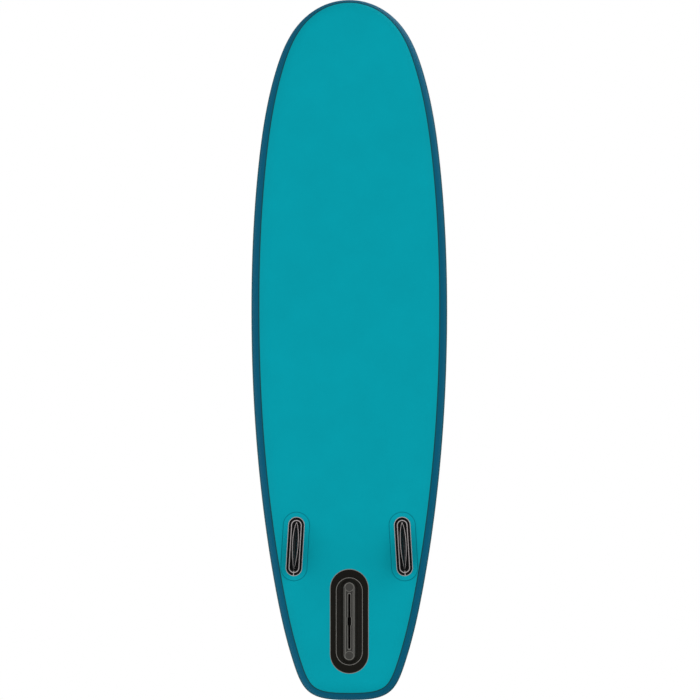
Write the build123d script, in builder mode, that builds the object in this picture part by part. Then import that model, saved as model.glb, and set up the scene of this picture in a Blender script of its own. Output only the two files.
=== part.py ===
from build123d import *
import os
from math import asin, atan2, cos, degrees, pi, radians, sin, tan

# An inflatable stand up paddleboard, deck up. Millimetres. X runs across the board, +Y to the nose,
# +Z out of the deck. The origin is on the flat belly, half way along the board.
os.makedirs("parts", exist_ok=True)

# ---- the board -------------------------------------------------------------------------------
board_length = 3000
board_width = 838
board_thickness = 150
nose_lift = 150
nose_rocker_length = 850
# the outline's stations from nose to tail: share of the length, share of the half width
outline_stations = (
    (0.010, 0.2967),
    (0.0367, 0.5305),
    (0.100, 0.7484),
    (0.2333, 0.9263),
    (0.460, 1.0),
    (0.6833, 0.9146),
    (0.850, 0.7415),
    (0.950, 0.5632),
    (0.9867, 0.4253),
)

# ---- sheet thicknesses -----------------------------------------------------------------------
skin = 0.9
band = 0.9
patch = 1.0
glue_line = 0.05

# ---- rail and seams --------------------------------------------------------------------------
band_half_angle = 57  # how far the outer rail band reaches round the rail, up and down
outline_samples = 16

# ---- drop stitch -----------------------------------------------------------------------------
thread_radius = 1.0
thread_pitch_x = 120
thread_pitch_y = 160
thread_inset = 110

# ---- centre fin box --------------------------------------------------------------------------
box_from_tail = 337
slot_width = 9.5
slot_length = 235
slot_depth = 20
slot_floor = 3.5
box_side_wall = 19.25
box_end_wall = 49.5
groove_width = 17
groove_height = 5.5
groove_from_mouth = 6
notch_length = 34
notch_width = 15
lip_width = 2.6
lip_height = 1.2
grip_disc_radius = 21
grip_disc_depth = 0.8
flange_plate = 2.5
flange_side = 33.5
flange_end = 21.5
shoulder_foot = 14
shoulder_top = 4
shoulder_height = 16
box_patch_side = 25.5
box_patch_end = 36

# ---- side fins -------------------------------------------------------------------------------
leaf_fullness = 0.8
leaf_roundness = 0.8
fin_from_tail = 658
fin_from_side = 187
fin_toe_in = 3.4
fin_chord = 204
fin_thickness = 25
fin_depth = 105
fin_rake = 112
fin_step_side = 9.5
fin_step_end = 11
fin_step_height = 2.5
fin_base_side = 13
fin_base_end = 14
fin_base_height = 3
fin_patch_side = 22.5
fin_patch_end = 21.5

# ---- deck pads -------------------------------------------------------------------------------
pad_thickness = 5
pad_inset = 94
pad_front_from_middle = 430
pad_front_radius = 520
front_joint_from_middle = 262
rear_joint_from_middle = 262
pad_rear_from_tail = 296
pad_gap = 6
handle_well_length = 400
handle_well_width = 110
kick_length = 56
kick_height = 20
kick_width = 368
kick_from_pad_end = 62

# ---- carry handle ----------------------------------------------------------------------------
strap_width = 38
strap_thickness = 2.5
strap_rise = 42
strap_top_length = 152
strap_run = 46
strap_end_length = 56
strap_bend = 24
grip_length = 124
grip_width = 48
grip_height = 22
handle_patch_length = 84
handle_patch_width = 84

# ---- valve -----------------------------------------------------------------------------------
valve_from_tail = 190
valve_flange_radius = 30
valve_flange = 2.5
socket_radius = 13.5
rim_wall = 3.5
rim_height = 2
neck_wall = 5.5
neck_depth = 28
seat_below_deck = 25
seat_height = 3
seat_radius = 11
spoke_width = 2.6
hub_radius = 4.6
stem_radius = 2.5
running_gap = 0.05
moving_gap = 0.3
diaphragm_radius = 12.6
diaphragm = 1.6
washer_radius = 9
washer = 1.8
button_radius = 5.5
button_height = 3.5
spring_length = 10.5
spring_wire = 0.35
spring_radius = 3.9
spring_turns = 5
gasket = 1.2
nut_height = 8
nut_wall = 8
nut_notches = 12
nut_notch_radius = 2

# ---- valve cap and its tether ----------------------------------------------------------------
cap_plate_radius = 20
cap_plate = 2.8
cap_seal = 1.2
cap_seal_width = 3
plug_depth = 8
plug_fit = 0.2
plug_draft = 0.8
plug_wall = 2.6
cap_boss_radius = 8
cap_boss = 2.4
cap_grip_length = 32
cap_grip_width = 7
cap_grip_height = 4
tether = 1.8
tether_ring_wall = 4
tether_width = 8
hinge_from_valve = 34
hinge_above_deck = 7
hinge_pin_radius = 1.5
eye_wall = 1.6
collar_wall = 4
collar_height = 1.8
lug = 2.7

# ---- rings, webbing loops and round patches --------------------------------------------------
ring_wire = 2
ring_half_width = 15
ring_corner = 5
ring_leg = 5
loop_width = 20
loop_length = 42
webbing = 1.5
ring_patch_radius = 35
leash_from_tail = 112
tow_from_nose = 130
bow_rear_behind_rocker = 10
bow_front_past_rocker = 290
bow_rear_from_centreline = 150
bow_front_from_centreline = 120
bow_ring_angle = 30

# ---- bungee cord -----------------------------------------------------------------------------
cord_radius = 3
cord_gap = 1
knot_length = 26
knot_radius = 8

# ---- worked out from the sizes above ---------------------------------------------------------
nose_y = board_length / 2
tail_y = -board_length / 2
deck = board_thickness
rail_radius = board_thickness / 2
rocker_radius = (nose_rocker_length**2 + nose_lift**2) / (2 * nose_lift)
rocker_start = nose_y - nose_rocker_length
column_bottom = -board_thickness
column_height = 3 * board_thickness + 2 * nose_lift


def closed_curve(right_side):
    """A smooth closed curve through points from the nose to the tail and their mirror images."""
    left_side = [(-x, y) for x, y in right_side[-2:0:-1]]
    return Spline(right_side + left_side, periodic=True)


with BuildLine() as board_line:
    closed_curve(
        [(0, nose_y)]
        + [(share * board_width / 2, nose_y - board_length * along) for along, share in outline_stations]
        + [(0, tail_y)]
    )
board_edge = board_line.edges()[0]


def rocker_lean(y, height):
    """How far the board leans back at a place along it, in radians, for a layer at a height."""
    return asin(max(y - rocker_start, 0) / (rocker_radius - height))


def edge_points(inset, count):
    """Points along the right-hand edge from nose to tail, moved inwards, with the ways out and along."""
    places = [(1 - cos(pi * i / count)) / 4 for i in range(count + 1)]
    result = []
    for place in places:
        on_edge = board_edge.position_at(place)
        along = board_edge.tangent_at(place)
        out = Vector(-along.Y, along.X)
        if place == places[0] or place == places[-1]:
            out = Vector(0, 1 if place == 0 else -1)
            on_edge = Vector(0, on_edge.Y)
        result.append((on_edge - out * inset, out, Vector(out.Y, -out.X)))
    return result


def outline(inset, height=0):
    """The board's plan outline moved inwards, as it falls on the layer at a height over the belly."""
    points = []
    for place, out, along in edge_points(inset, outline_samples):
        lean = rocker_lean(place.Y, board_thickness / 2)
        points.append((place.X, place.Y - (height - board_thickness / 2) * sin(lean)))
    with BuildSketch() as plan:
        with BuildLine():
            closed_curve(points)
        make_face()
    return plan.sketch


def layer(low, high):
    """The slab between two heights over the belly, flat as far as the rocker and then curved up."""
    sweep_angle = degrees(2 * asin(nose_rocker_length / rocker_radius))
    centre = (rocker_start, rocker_radius)
    with BuildPart() as slab:
        with BuildSketch(Plane.YZ):
            with BuildLine():
                lower_flat = Line((2 * tail_y, low), (rocker_start, low))
                lower_arc = CenterArc(centre, rocker_radius - low, -90, sweep_angle)
                upper_arc = CenterArc(centre, rocker_radius - high, -90, sweep_angle)
                upper_flat = Line((rocker_start, high), (2 * tail_y, high))
                Line(lower_arc @ 1, upper_arc @ 1)
                Line(upper_flat @ 1, lower_flat @ 0)
            make_face()
        extrude(amount=board_width, both=True)
    return slab.part


def column(plan, low, high):
    """A plan shape carried straight up and cut to the slab between two heights over the belly."""
    with BuildPart() as block:
        with BuildSketch(Plane.XY.offset(column_bottom)):
            add(plan)
        extrude(amount=column_height)
        add(layer(low, high), mode=Mode.INTERSECT)
    return block.part


def rail_strip(inner_radius, outer_radius, half_angle, side):
    """One side's strip of sheet round the rail, lofted from the nose to the tail."""
    with BuildPart() as strip:
        for place, out, along in edge_points(rail_radius + band, outline_samples):
            lean = rocker_lean(place.Y, board_thickness / 2)
            height = rocker_radius - (rocker_radius - board_thickness / 2) * cos(lean)
            up = Vector(0, -sin(lean), cos(lean))
            forward = Vector(along.X, along.Y * cos(lean), along.Y * sin(lean))
            outward = forward.cross(up) * -1
            centre = Vector(side * place.X, place.Y, height)
            outward = Vector(side * outward.X, outward.Y, outward.Z)
            with BuildSketch(Plane(centre, x_dir=outward, z_dir=outward.cross(up))):
                with BuildLine():
                    outer = CenterArc((0, 0), outer_radius, -half_angle, 2 * half_angle)
                    inner = CenterArc((0, 0), inner_radius, -half_angle, 2 * half_angle)
                    Line(outer @ 0, inner @ 0)
                    Line(outer @ 1, inner @ 1)
                make_face()
        loft()
    return strip.part


def turned(plane, angle):
    """A plane turned about its own normal, by an angle in degrees."""
    x_dir = plane.x_dir * cos(radians(angle)) + plane.y_dir * sin(radians(angle))
    return Plane(plane.origin, x_dir=x_dir, z_dir=plane.z_dir)


def tilted(plane, angle):
    """A plane tilted about its own X, by an angle in degrees."""
    z_dir = plane.z_dir * cos(radians(angle)) - plane.y_dir * sin(radians(angle))
    return Plane(plane.origin, x_dir=plane.x_dir, z_dir=z_dir)


def finish(part, name):
    """Names a finished piece and writes its file."""
    part.label = name
    export_step(part, f"parts/{name}.step")


# ---- the air chamber's skins -----------------------------------------------------------------
valve_y = tail_y + valve_from_tail
neck_radius = socket_radius + neck_wall
flat_inset = rail_radius + band

with BuildPart() as bottom_skin:
    add(column(outline(flat_inset, 0), 0, skin))
finish(bottom_skin.part, "bottom_skin")

with BuildPart() as deck_skin:
    add(column(outline(flat_inset, deck), deck - skin, deck))
    with Locations((0, valve_y, deck)):
        Hole(neck_radius)
finish(deck_skin.part, "deck_skin")

for side_name, side in (("right", 1), ("left", -1)):
    with BuildPart() as side_wall:
        add(rail_strip(rail_radius - skin, rail_radius, 90, side))
    finish(side_wall.part, f"side_wall_{side_name}")

    with BuildPart() as rail_band:
        add(rail_strip(rail_radius, rail_radius + band, band_half_angle, side))
    finish(rail_band.part, f"rail_band_{side_name}")

# ---- drop stitch threads, a few of the many that tie the two cloths together -------------------
thread_area = outline(thread_inset).face()
valve_room = neck_radius + nut_wall + 4 * thread_radius
columns = int(board_width / thread_pitch_x / 2)
rows = int(board_length / thread_pitch_y / 2)
thread_spots = [
    (i * thread_pitch_x, j * thread_pitch_y)
    for i in range(-columns, columns + 1)
    for j in range(-rows, rows + 1)
    if thread_area.is_inside((i * thread_pitch_x, j * thread_pitch_y))
    and (Vector(i * thread_pitch_x, j * thread_pitch_y) - Vector(0, valve_y)).length > valve_room
]
with BuildPart() as drop_stitch_threads:
    with BuildSketch(Plane.XY):
        with Locations(*thread_spots):
            Circle(thread_radius)
    extrude(amount=column_height / 2)
    add(layer(skin / 2, board_thickness - skin / 2), mode=Mode.INTERSECT)
finish(drop_stitch_threads.part, "drop_stitch_threads")

# ---- centre fin box, raised from the bottom ----------------------------------------------------
box_y = tail_y + box_from_tail
box_width = slot_width + 2 * box_side_wall
box_length = slot_length + 2 * box_end_wall
box_height = slot_depth + slot_floor
box_top = -patch - box_height
flange_width = box_width + 2 * flange_side
flange_length = box_length + 2 * flange_end
below = Plane((0, box_y, 0), x_dir=(0, 1, 0), z_dir=(0, 0, -1))

with BuildPart() as centre_box_patch:
    with BuildSketch(below):
        SlotOverall(flange_length + 2 * box_patch_end, flange_width + 2 * box_patch_side)
    extrude(amount=patch)
finish(centre_box_patch.part, "centre_box_patch")

with BuildPart() as centre_box_flange:
    with BuildSketch(below.offset(patch)):
        SlotOverall(flange_length, flange_width)
    extrude(amount=flange_plate)
    fillet(centre_box_flange.faces().sort_by(Axis.Z)[0].edges(), flange_plate * 0.8)
    with BuildSketch(below.offset(patch + flange_plate)):
        SlotOverall(box_length + 2 * shoulder_foot, box_width + 2 * shoulder_foot)
    with BuildSketch(below.offset(patch + flange_plate + shoulder_height)):
        SlotOverall(box_length + 2 * shoulder_top, box_width + 2 * shoulder_top)
    loft()
    with BuildSketch(below.offset(patch)):
        SlotOverall(box_length, box_width)
    extrude(amount=box_height, mode=Mode.SUBTRACT)
finish(centre_box_flange.part, "centre_box_flange")

mouth = below.offset(patch + box_height)
with BuildPart() as centre_box:
    with BuildSketch(below.offset(patch)):
        SlotOverall(box_length, box_width)
    extrude(amount=box_height)
    with BuildSketch(mouth):
        SlotOverall(slot_length + 2 * lip_width, slot_width + 2 * lip_width)
    extrude(amount=lip_height)
    with BuildSketch(mouth.offset(lip_height)):
        SlotOverall(slot_length, slot_width)
    extrude(amount=-(slot_depth + lip_height), mode=Mode.SUBTRACT)
    with BuildSketch(mouth.offset(-groove_from_mouth)):
        Rectangle(slot_length - slot_width, groove_width)
    extrude(amount=-groove_height, mode=Mode.SUBTRACT)
    with BuildSketch(mouth.offset(lip_height)):
        Rectangle(notch_length, notch_width)
    extrude(amount=-(groove_from_mouth + groove_height + lip_height), mode=Mode.SUBTRACT)
    with BuildSketch(mouth):
        with Locations((box_length / 2 - box_width / 2, 0), (box_width / 2 - box_length / 2, 0)):
            Circle(grip_disc_radius)
    extrude(amount=-grip_disc_depth, mode=Mode.SUBTRACT)
finish(centre_box.part, "centre_box")

# ---- side fins -----------------------------------------------------------------------------------
fin_x = board_width / 2 - fin_from_side
fin_y = tail_y + fin_from_tail
step_length = fin_chord + 2 * fin_step_end
step_width = fin_thickness + 2 * fin_step_side
base_length = step_length + 2 * fin_base_end
base_width = step_width + 2 * fin_base_side
# the blade's sections from root to tip: share of the depth, share of the root chord
blade_sections = ((0, 1.0), (0.3, 0.86), (0.6, 0.66), (0.85, 0.44), (1.0, 0.24))


def foil(chord, thickness, rear):
    """A symmetric section like a leaf, rounded at the front, that ends in a point at its rear."""
    upper = []
    for share in (0, 0.0125, 0.05, 0.12, 0.25, 0.42, 0.62, 0.82, 1.0):
        upper.append((rear + chord * (1 - share), thickness / 2 * sin(pi * share**leaf_fullness) ** leaf_roundness))
    lower = [(x, -y) for x, y in upper]
    lower.reverse()
    with BuildSketch() as section:
        with BuildLine():
            Spline(*(lower[:-1] + upper))
        make_face()
    return section.sketch


for side_name, side in (("right", 1), ("left", -1)):
    fin_centre = (side * fin_x, fin_y, 0)
    fin_plane = turned(Plane(fin_centre, x_dir=(0, 1, 0), z_dir=(0, 0, -1)), -side * fin_toe_in)
    with BuildPart() as fin_patch:
        with BuildSketch(fin_plane):
            SlotOverall(base_length + 2 * fin_patch_end, base_width + 2 * fin_patch_side)
        extrude(amount=patch)
    finish(fin_patch.part, f"side_fin_patch_{side_name}")

    root_level = patch + fin_base_height + fin_step_height
    with BuildPart() as side_fin:
        with BuildSketch(fin_plane.offset(patch)):
            SlotOverall(base_length, base_width)
        extrude(amount=fin_base_height)
        with BuildSketch(fin_plane.offset(patch + fin_base_height)):
            SlotOverall(step_length, step_width)
        extrude(amount=fin_step_height)
        for depth_share, chord_share in blade_sections:
            chord = fin_chord * chord_share
            rear = -fin_chord / 2 - (fin_rake - fin_chord / 2) * depth_share**2
            with BuildSketch(fin_plane.offset(root_level + fin_depth * depth_share)):
                add(foil(chord, fin_thickness * chord_share, rear))
        loft()
    finish(side_fin.part, f"side_fin_{side_name}")

# ---- foam deck pads ------------------------------------------------------------------------------
pad_front_y = pad_front_from_middle
pad_rear_y = tail_y + pad_rear_from_tail
pad_plane = Plane.XY.offset(deck)


def pad_strip(rear, front):
    """The deck pad's plan between two lines across the board."""
    with BuildSketch() as strip:
        add(outline(pad_inset))
        with Locations((0, (rear + front) / 2)):
            Rectangle(board_width, front - rear, mode=Mode.INTERSECT)
    return strip.sketch


with BuildPart() as deck_pad_front:
    with BuildSketch(pad_plane):
        add(pad_strip(front_joint_from_middle + pad_gap / 2, pad_front_y))
        with Locations((0, pad_front_y - pad_front_radius)):
            Circle(pad_front_radius, mode=Mode.INTERSECT)
    extrude(amount=pad_thickness)
finish(deck_pad_front.part, "deck_pad_front")

with BuildPart() as deck_pad_middle:
    with BuildSketch(pad_plane):
        add(pad_strip(-rear_joint_from_middle + pad_gap / 2, front_joint_from_middle - pad_gap / 2))
        SlotOverall(handle_well_length, handle_well_width, rotation=90, mode=Mode.SUBTRACT)
    extrude(amount=pad_thickness)
finish(deck_pad_middle.part, "deck_pad_middle")

with BuildPart() as deck_pad_rear:
    with BuildSketch(pad_plane):
        add(pad_strip(pad_rear_y, -rear_joint_from_middle - pad_gap / 2))
    extrude(amount=pad_thickness)
finish(deck_pad_rear.part, "deck_pad_rear")

kick_plane = Plane((0, pad_rear_y + kick_from_pad_end, deck + pad_thickness), x_dir=(0, 1, 0), z_dir=(1, 0, 0))
with BuildPart() as kick_pad:
    with BuildSketch(kick_plane):
        with BuildLine():
            foot = Line((-kick_length / 2, 0), (kick_length / 2, 0))
            ThreePointArc(foot @ 0, (-kick_length / 8, kick_height), foot @ 1)
        make_face()
    extrude(amount=kick_width / 2, both=True)
finish(kick_pad.part, "kick_pad")

# ---- carry handle --------------------------------------------------------------------------------
strap_foot = deck + patch + strap_thickness / 2
half_top = strap_top_length / 2
half_foot = half_top + strap_run
half_strap = half_foot + strap_end_length
handle_patch_y = half_strap - handle_patch_length / 2 + strap_thickness * 4

for end_name, end in (("front", 1), ("rear", -1)):
    with BuildPart() as handle_patch:
        with BuildSketch(pad_plane):
            with Locations((0, end * handle_patch_y)):
                RectangleRounded(handle_patch_width, handle_patch_length, handle_patch_width / 5)
        extrude(amount=patch)
    finish(handle_patch.part, f"handle_patch_{end_name}")

strap_corners = [
    (-half_strap, strap_foot),
    (-half_foot, strap_foot),
    (-half_top, strap_foot + strap_rise),
    (half_top, strap_foot + strap_rise),
    (half_foot, strap_foot),
    (half_strap, strap_foot),
]
with BuildPart() as handle_strap:
    with BuildSketch(Plane.YZ):
        with BuildLine() as strap_line:
            FilletPolyline(*strap_corners, radius=strap_bend)
        trace(line_width=strap_thickness)
    extrude(amount=strap_width / 2, both=True)
    split(bisect_by=Plane.XZ.offset(-half_strap), keep=Keep.TOP)
    split(bisect_by=Plane.XZ.offset(half_strap), keep=Keep.BOTTOM)
finish(handle_strap.part, "handle_strap")

grip_plane = Plane((0, 0, strap_foot + strap_rise), x_dir=(1, 0, 0), z_dir=(0, -1, 0))
with BuildPart() as handle_grip:
    with BuildSketch(grip_plane):
        SlotOverall(grip_width, grip_height)
    extrude(amount=grip_length / 2, both=True)
    fillet(handle_grip.faces().filter_by(Axis.Y).edges(), grip_height / 4)
    with BuildSketch(grip_plane):
        Rectangle(strap_width, strap_thickness)
    extrude(amount=grip_length, both=True, mode=Mode.SUBTRACT)
finish(handle_grip.part, "handle_grip")

# ---- valve ---------------------------------------------------------------------------------------
rim_radius = socket_radius + rim_wall
rim_top = deck + valve_flange + rim_height
seat_bottom = deck - seat_below_deck
seat_top = seat_bottom + seat_height
neck_bottom = deck - neck_depth
button_bottom = seat_top + spring_length
diaphragm_top = seat_bottom - moving_gap
washer_top = diaphragm_top - diaphragm
gasket_top = deck - skin


def valve_disc(height):
    """The plane across the valve at a height over the belly."""
    return Plane((0, valve_y, height), x_dir=(1, 0, 0), z_dir=(0, 0, 1))


with BuildPart() as valve_body:
    with BuildSketch(valve_disc(deck)):
        Circle(valve_flange_radius)
    extrude(amount=valve_flange)
    with BuildSketch(valve_disc(neck_bottom)):
        Circle(neck_radius)
    extrude(amount=neck_depth)
    with BuildSketch(valve_disc(deck + valve_flange)):
        Circle(rim_radius)
    extrude(amount=rim_height)
    with BuildSketch(valve_disc(neck_bottom)):
        Circle(socket_radius)
    extrude(amount=neck_depth + valve_flange + rim_height, mode=Mode.SUBTRACT)
    with BuildSketch(valve_disc(seat_bottom)):
        Circle(socket_radius)
        Circle(seat_radius, mode=Mode.SUBTRACT)
        with PolarLocations(0, 3):
            with Locations((seat_radius / 2, 0)):
                Rectangle(seat_radius + spoke_width / 2, spoke_width)
        Circle(hub_radius)
        Circle(stem_radius + running_gap, mode=Mode.SUBTRACT)
    extrude(amount=seat_height)
    flange_rim = valve_body.edges().filter_by(GeomType.CIRCLE).group_by(Axis.Z)
    fillet([e for e in flange_rim[-2] if e.radius == valve_flange_radius], valve_flange / 2)
finish(valve_body.part, "valve_body")

with BuildPart() as valve_gasket:
    with BuildSketch(valve_disc(gasket_top)):
        Circle(neck_radius + nut_wall)
        Circle(neck_radius, mode=Mode.SUBTRACT)
    extrude(amount=-gasket)
finish(valve_gasket.part, "valve_gasket")

with BuildPart() as valve_nut:
    with BuildSketch(valve_disc(gasket_top - gasket)):
        Circle(neck_radius + nut_wall)
        Circle(neck_radius, mode=Mode.SUBTRACT)
        with PolarLocations(neck_radius + nut_wall, nut_notches):
            Circle(nut_notch_radius, mode=Mode.SUBTRACT)
    extrude(amount=-nut_height)
finish(valve_nut.part, "valve_nut")

with BuildPart() as valve_diaphragm:
    with BuildSketch(valve_disc(diaphragm_top)):
        Circle(diaphragm_radius)
        Circle(stem_radius + running_gap, mode=Mode.SUBTRACT)
    extrude(amount=-diaphragm)
finish(valve_diaphragm.part, "valve_diaphragm")

with BuildPart() as valve_plunger:
    with BuildSketch(valve_disc(washer_top - running_gap)):
        Circle(washer_radius)
    extrude(amount=-washer)
    with BuildSketch(valve_disc(washer_top - running_gap)):
        Circle(stem_radius)
    extrude(amount=button_bottom - washer_top + running_gap)
    with BuildSketch(valve_disc(button_bottom)):
        Circle(button_radius)
    extrude(amount=button_height)
    fillet(valve_plunger.faces().sort_by(Axis.Z)[-1].edges(), button_height / 4)
finish(valve_plunger.part, "valve_plunger")

with BuildPart() as valve_spring:
    with BuildLine():
        coil = Helix(
            pitch=(spring_length - 2 * spring_wire) / spring_turns,
            height=spring_length - 2 * spring_wire,
            radius=spring_radius,
            center=(0, valve_y, seat_top + spring_wire),
        )
    with BuildSketch(Plane(coil @ 0, z_dir=coil % 0)):
        Circle(spring_wire)
    sweep()
finish(valve_spring.part, "valve_spring")

# ---- valve cap on its tether ---------------------------------------------------------------------
hinge_y = valve_y + hinge_from_valve
hinge_height = deck + hinge_above_deck
plug_radius = socket_radius - plug_fit
cap_bottom = rim_top + moving_gap + cap_seal
cap_top = cap_bottom + cap_plate
tether_bottom = cap_top + moving_gap
grip_bottom = cap_top + cap_boss
eye_radius = hinge_pin_radius + running_gap + eye_wall

with BuildPart() as valve_cap:
    with BuildSketch(valve_disc(cap_bottom)):
        Circle(cap_plate_radius)
    extrude(amount=cap_plate)
    fillet(valve_cap.faces().sort_by(Axis.Z)[-1].edges(), cap_plate / 3)
    with BuildSketch(valve_disc(rim_top - plug_depth)):
        Circle(plug_radius - plug_draft)
    with BuildSketch(valve_disc(cap_bottom)):
        Circle(plug_radius)
    loft()
    with BuildSketch(valve_disc(rim_top - plug_depth)):
        Circle(plug_radius - plug_draft - plug_wall)
    extrude(amount=plug_depth, mode=Mode.SUBTRACT)
    with BuildSketch(valve_disc(cap_top)):
        Circle(cap_boss_radius)
    extrude(amount=cap_boss)
    with BuildSketch(valve_disc(grip_bottom)):
        SlotOverall(cap_grip_length, cap_grip_width)
    extrude(amount=cap_grip_height)
finish(valve_cap.part, "valve_cap")

with BuildPart() as cap_seal_ring:
    with BuildSketch(valve_disc(cap_bottom)):
        Circle(plug_radius + cap_seal_width)
        Circle(plug_radius, mode=Mode.SUBTRACT)
    extrude(amount=-cap_seal)
finish(cap_seal_ring.part, "cap_seal")

across_hinge = Plane((0, hinge_y, hinge_height), x_dir=(0, 1, 0), z_dir=(1, 0, 0))
ring_inner = cap_boss_radius + running_gap
with BuildPart() as cap_tether:
    with BuildSketch(valve_disc(tether_bottom)):
        Circle(ring_inner + tether_ring_wall)
        with Locations((0, hinge_from_valve / 2)):
            Rectangle(tether_width, hinge_from_valve)
        Circle(ring_inner, mode=Mode.SUBTRACT)
    extrude(amount=tether)
    with BuildSketch(across_hinge):
        Circle(eye_radius)
        with Locations((0, (tether_bottom + tether - hinge_height) / 2)):
            Rectangle(2 * eye_wall, tether_bottom + tether - hinge_height)
    extrude(amount=tether_width / 2, both=True)
    with BuildSketch(across_hinge):
        Circle(hinge_pin_radius + running_gap)
    extrude(amount=tether_width, both=True, mode=Mode.SUBTRACT)
finish(cap_tether.part, "cap_tether")

lug_inner = tether_width / 2 + moving_gap
lug_outer = lug_inner + lug
with BuildPart() as tether_collar:
    with BuildSketch(valve_disc(deck + valve_flange)):
        Circle(rim_radius + collar_wall)
        Circle(rim_radius, mode=Mode.SUBTRACT)
    extrude(amount=collar_height)
    for side in (1, -1):
        lug_centre = side * (lug_inner + lug / 2)
        with Locations((lug_centre, (valve_y + rim_radius + hinge_y) / 2, deck + valve_flange + collar_height / 2)):
            Box(lug, hinge_y - valve_y - rim_radius, collar_height)
        with Locations((lug_centre, hinge_y, (deck + valve_flange + hinge_height) / 2)):
            Box(lug, 2 * eye_radius, hinge_height - deck - valve_flange)
    with BuildSketch(across_hinge):
        Circle(eye_radius)
    extrude(amount=lug_outer, both=True)
    with BuildSketch(across_hinge):
        Circle(2 * eye_radius)
    extrude(amount=lug_inner, both=True, mode=Mode.SUBTRACT)
    with BuildSketch(across_hinge):
        Circle(hinge_pin_radius)
    extrude(amount=lug_inner, both=True)
finish(tether_collar.part, "tether_collar")

# ---- rings on webbing loops and round patches -----------------------------------------------------
bar_height = patch + webbing + running_gap + ring_wire
ring_reach = ring_corner + ring_leg + ring_half_width
loop_radius = ring_wire + running_gap + webbing


def deck_plane(x, y):
    """The plane that touches the deck at a place, with its X across the board and its Z off the deck."""
    lean = rocker_lean(y, deck)
    height = rocker_radius - (rocker_radius - deck) * cos(lean)
    return Plane((x, y, height), x_dir=(1, 0, 0), z_dir=(0, -sin(lean), cos(lean)))


def ring_and_loop(place, name, angle):
    """A wire ring whose bow points along the place's -Y, its webbing loop and its round patch."""
    across = Plane(place.origin, x_dir=place.y_dir, z_dir=place.x_dir)
    with BuildPart() as ring_patch:
        with BuildSketch(Plane.XY.offset(column_bottom)):
            with Locations((place.origin.X, place.origin.Y)):
                Circle(ring_patch_radius)
        extrude(amount=column_height)
        add(layer(deck + glue_line, deck + patch), mode=Mode.INTERSECT)
    finish(ring_patch.part, f"{name}_patch")

    with BuildPart() as ring_loop:
        with BuildSketch(across):
            with Locations((0, patch + webbing / 2)):
                Rectangle(loop_length, webbing)
            with Locations((0, (patch + bar_height) / 2)):
                Rectangle(2 * loop_radius, bar_height - patch)
            with Locations((0, bar_height)):
                Circle(loop_radius)
                Circle(ring_wire + running_gap, mode=Mode.SUBTRACT)
        extrude(amount=loop_width / 2, both=True)
        add(ring_patch.part, mode=Mode.SUBTRACT)
    finish(ring_loop.part, f"{name}_loop")

    ring_plane = tilted(place.offset(bar_height), angle)
    inner = ring_half_width - ring_corner
    shoulder = -ring_corner - ring_leg
    clockwise = ring_plane.z_dir * -1
    with BuildPart() as ring:
        with BuildSketch(Plane(ring_plane.origin, z_dir=ring_plane.x_dir)):
            Circle(ring_wire)
        extrude(amount=inner, both=True)
        for end in (1, -1):
            bar_end = ring_plane.from_local_coords(Vector(end * inner, 0, 0))
            corner_centre = ring_plane.from_local_coords(Vector(end * inner, -ring_corner, 0))
            leg_top = ring_plane.from_local_coords(Vector(end * ring_half_width, -ring_corner, 0))
            with BuildSketch(Plane(bar_end, z_dir=ring_plane.x_dir)):
                Circle(ring_wire)
            revolve(axis=Axis(corner_centre, clockwise * end), revolution_arc=90)
            with BuildSketch(Plane(leg_top, z_dir=ring_plane.y_dir)):
                Circle(ring_wire)
            extrude(amount=-ring_leg)
        bow_end = ring_plane.from_local_coords(Vector(ring_half_width, shoulder, 0))
        bow_centre = ring_plane.from_local_coords(Vector(0, shoulder, 0))
        with BuildSketch(Plane(bow_end, z_dir=ring_plane.y_dir)):
            Circle(ring_wire)
        revolve(axis=Axis(bow_centre, clockwise), revolution_arc=180)
    finish(ring.part, name)
    return ring_plane


leash_y = tail_y + leash_from_tail
tow_y = nose_y - tow_from_nose
ring_and_loop(deck_plane(0, leash_y), "leash_ring", 0)
ring_and_loop(deck_plane(0, tow_y), "tow_ring", 0)

# each bow ring points midway between the diagonal and the straight run of the cord that it turns
bow_front_y = rocker_start + bow_front_past_rocker
bow_rear_y = rocker_start - bow_rear_behind_rocker
bow_places = {
    "front_left": (-bow_front_from_centreline, bow_front_y),
    "front_right": (bow_front_from_centreline, bow_front_y),
    "rear_right": (bow_rear_from_centreline, bow_rear_y),
    "rear_left": (-bow_rear_from_centreline, bow_rear_y),
}
opposite = {
    "front_left": ("rear_right", "front_right"),
    "front_right": ("rear_left", "front_left"),
    "rear_right": ("front_left", "rear_left"),
    "rear_left": ("front_right", "rear_right"),
}
cord_turn = ring_wire + cord_radius + cord_gap
hole_over = {}
hole_under = {}
for corner, (x, y) in bow_places.items():
    here = Vector(x, y)
    diagonal = (Vector(*bow_places[opposite[corner][0]]) - here).normalized()
    straight = (Vector(*bow_places[opposite[corner][1]]) - here).normalized()
    pull = diagonal + straight
    heading = degrees(atan2(pull.Y, pull.X)) + 90
    bow_place = turned(deck_plane(x, y), heading)
    bow_plane = ring_and_loop(bow_place, f"bow_ring_{corner}", -bow_ring_angle)
    hole = bow_plane.from_local_coords(Vector(0, -ring_reach, 0)) - pull.normalized() * cord_turn
    hole_over[corner] = hole + Vector(0, 0, cord_turn)
    hole_under[corner] = hole - Vector(0, 0, cord_turn)

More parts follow.
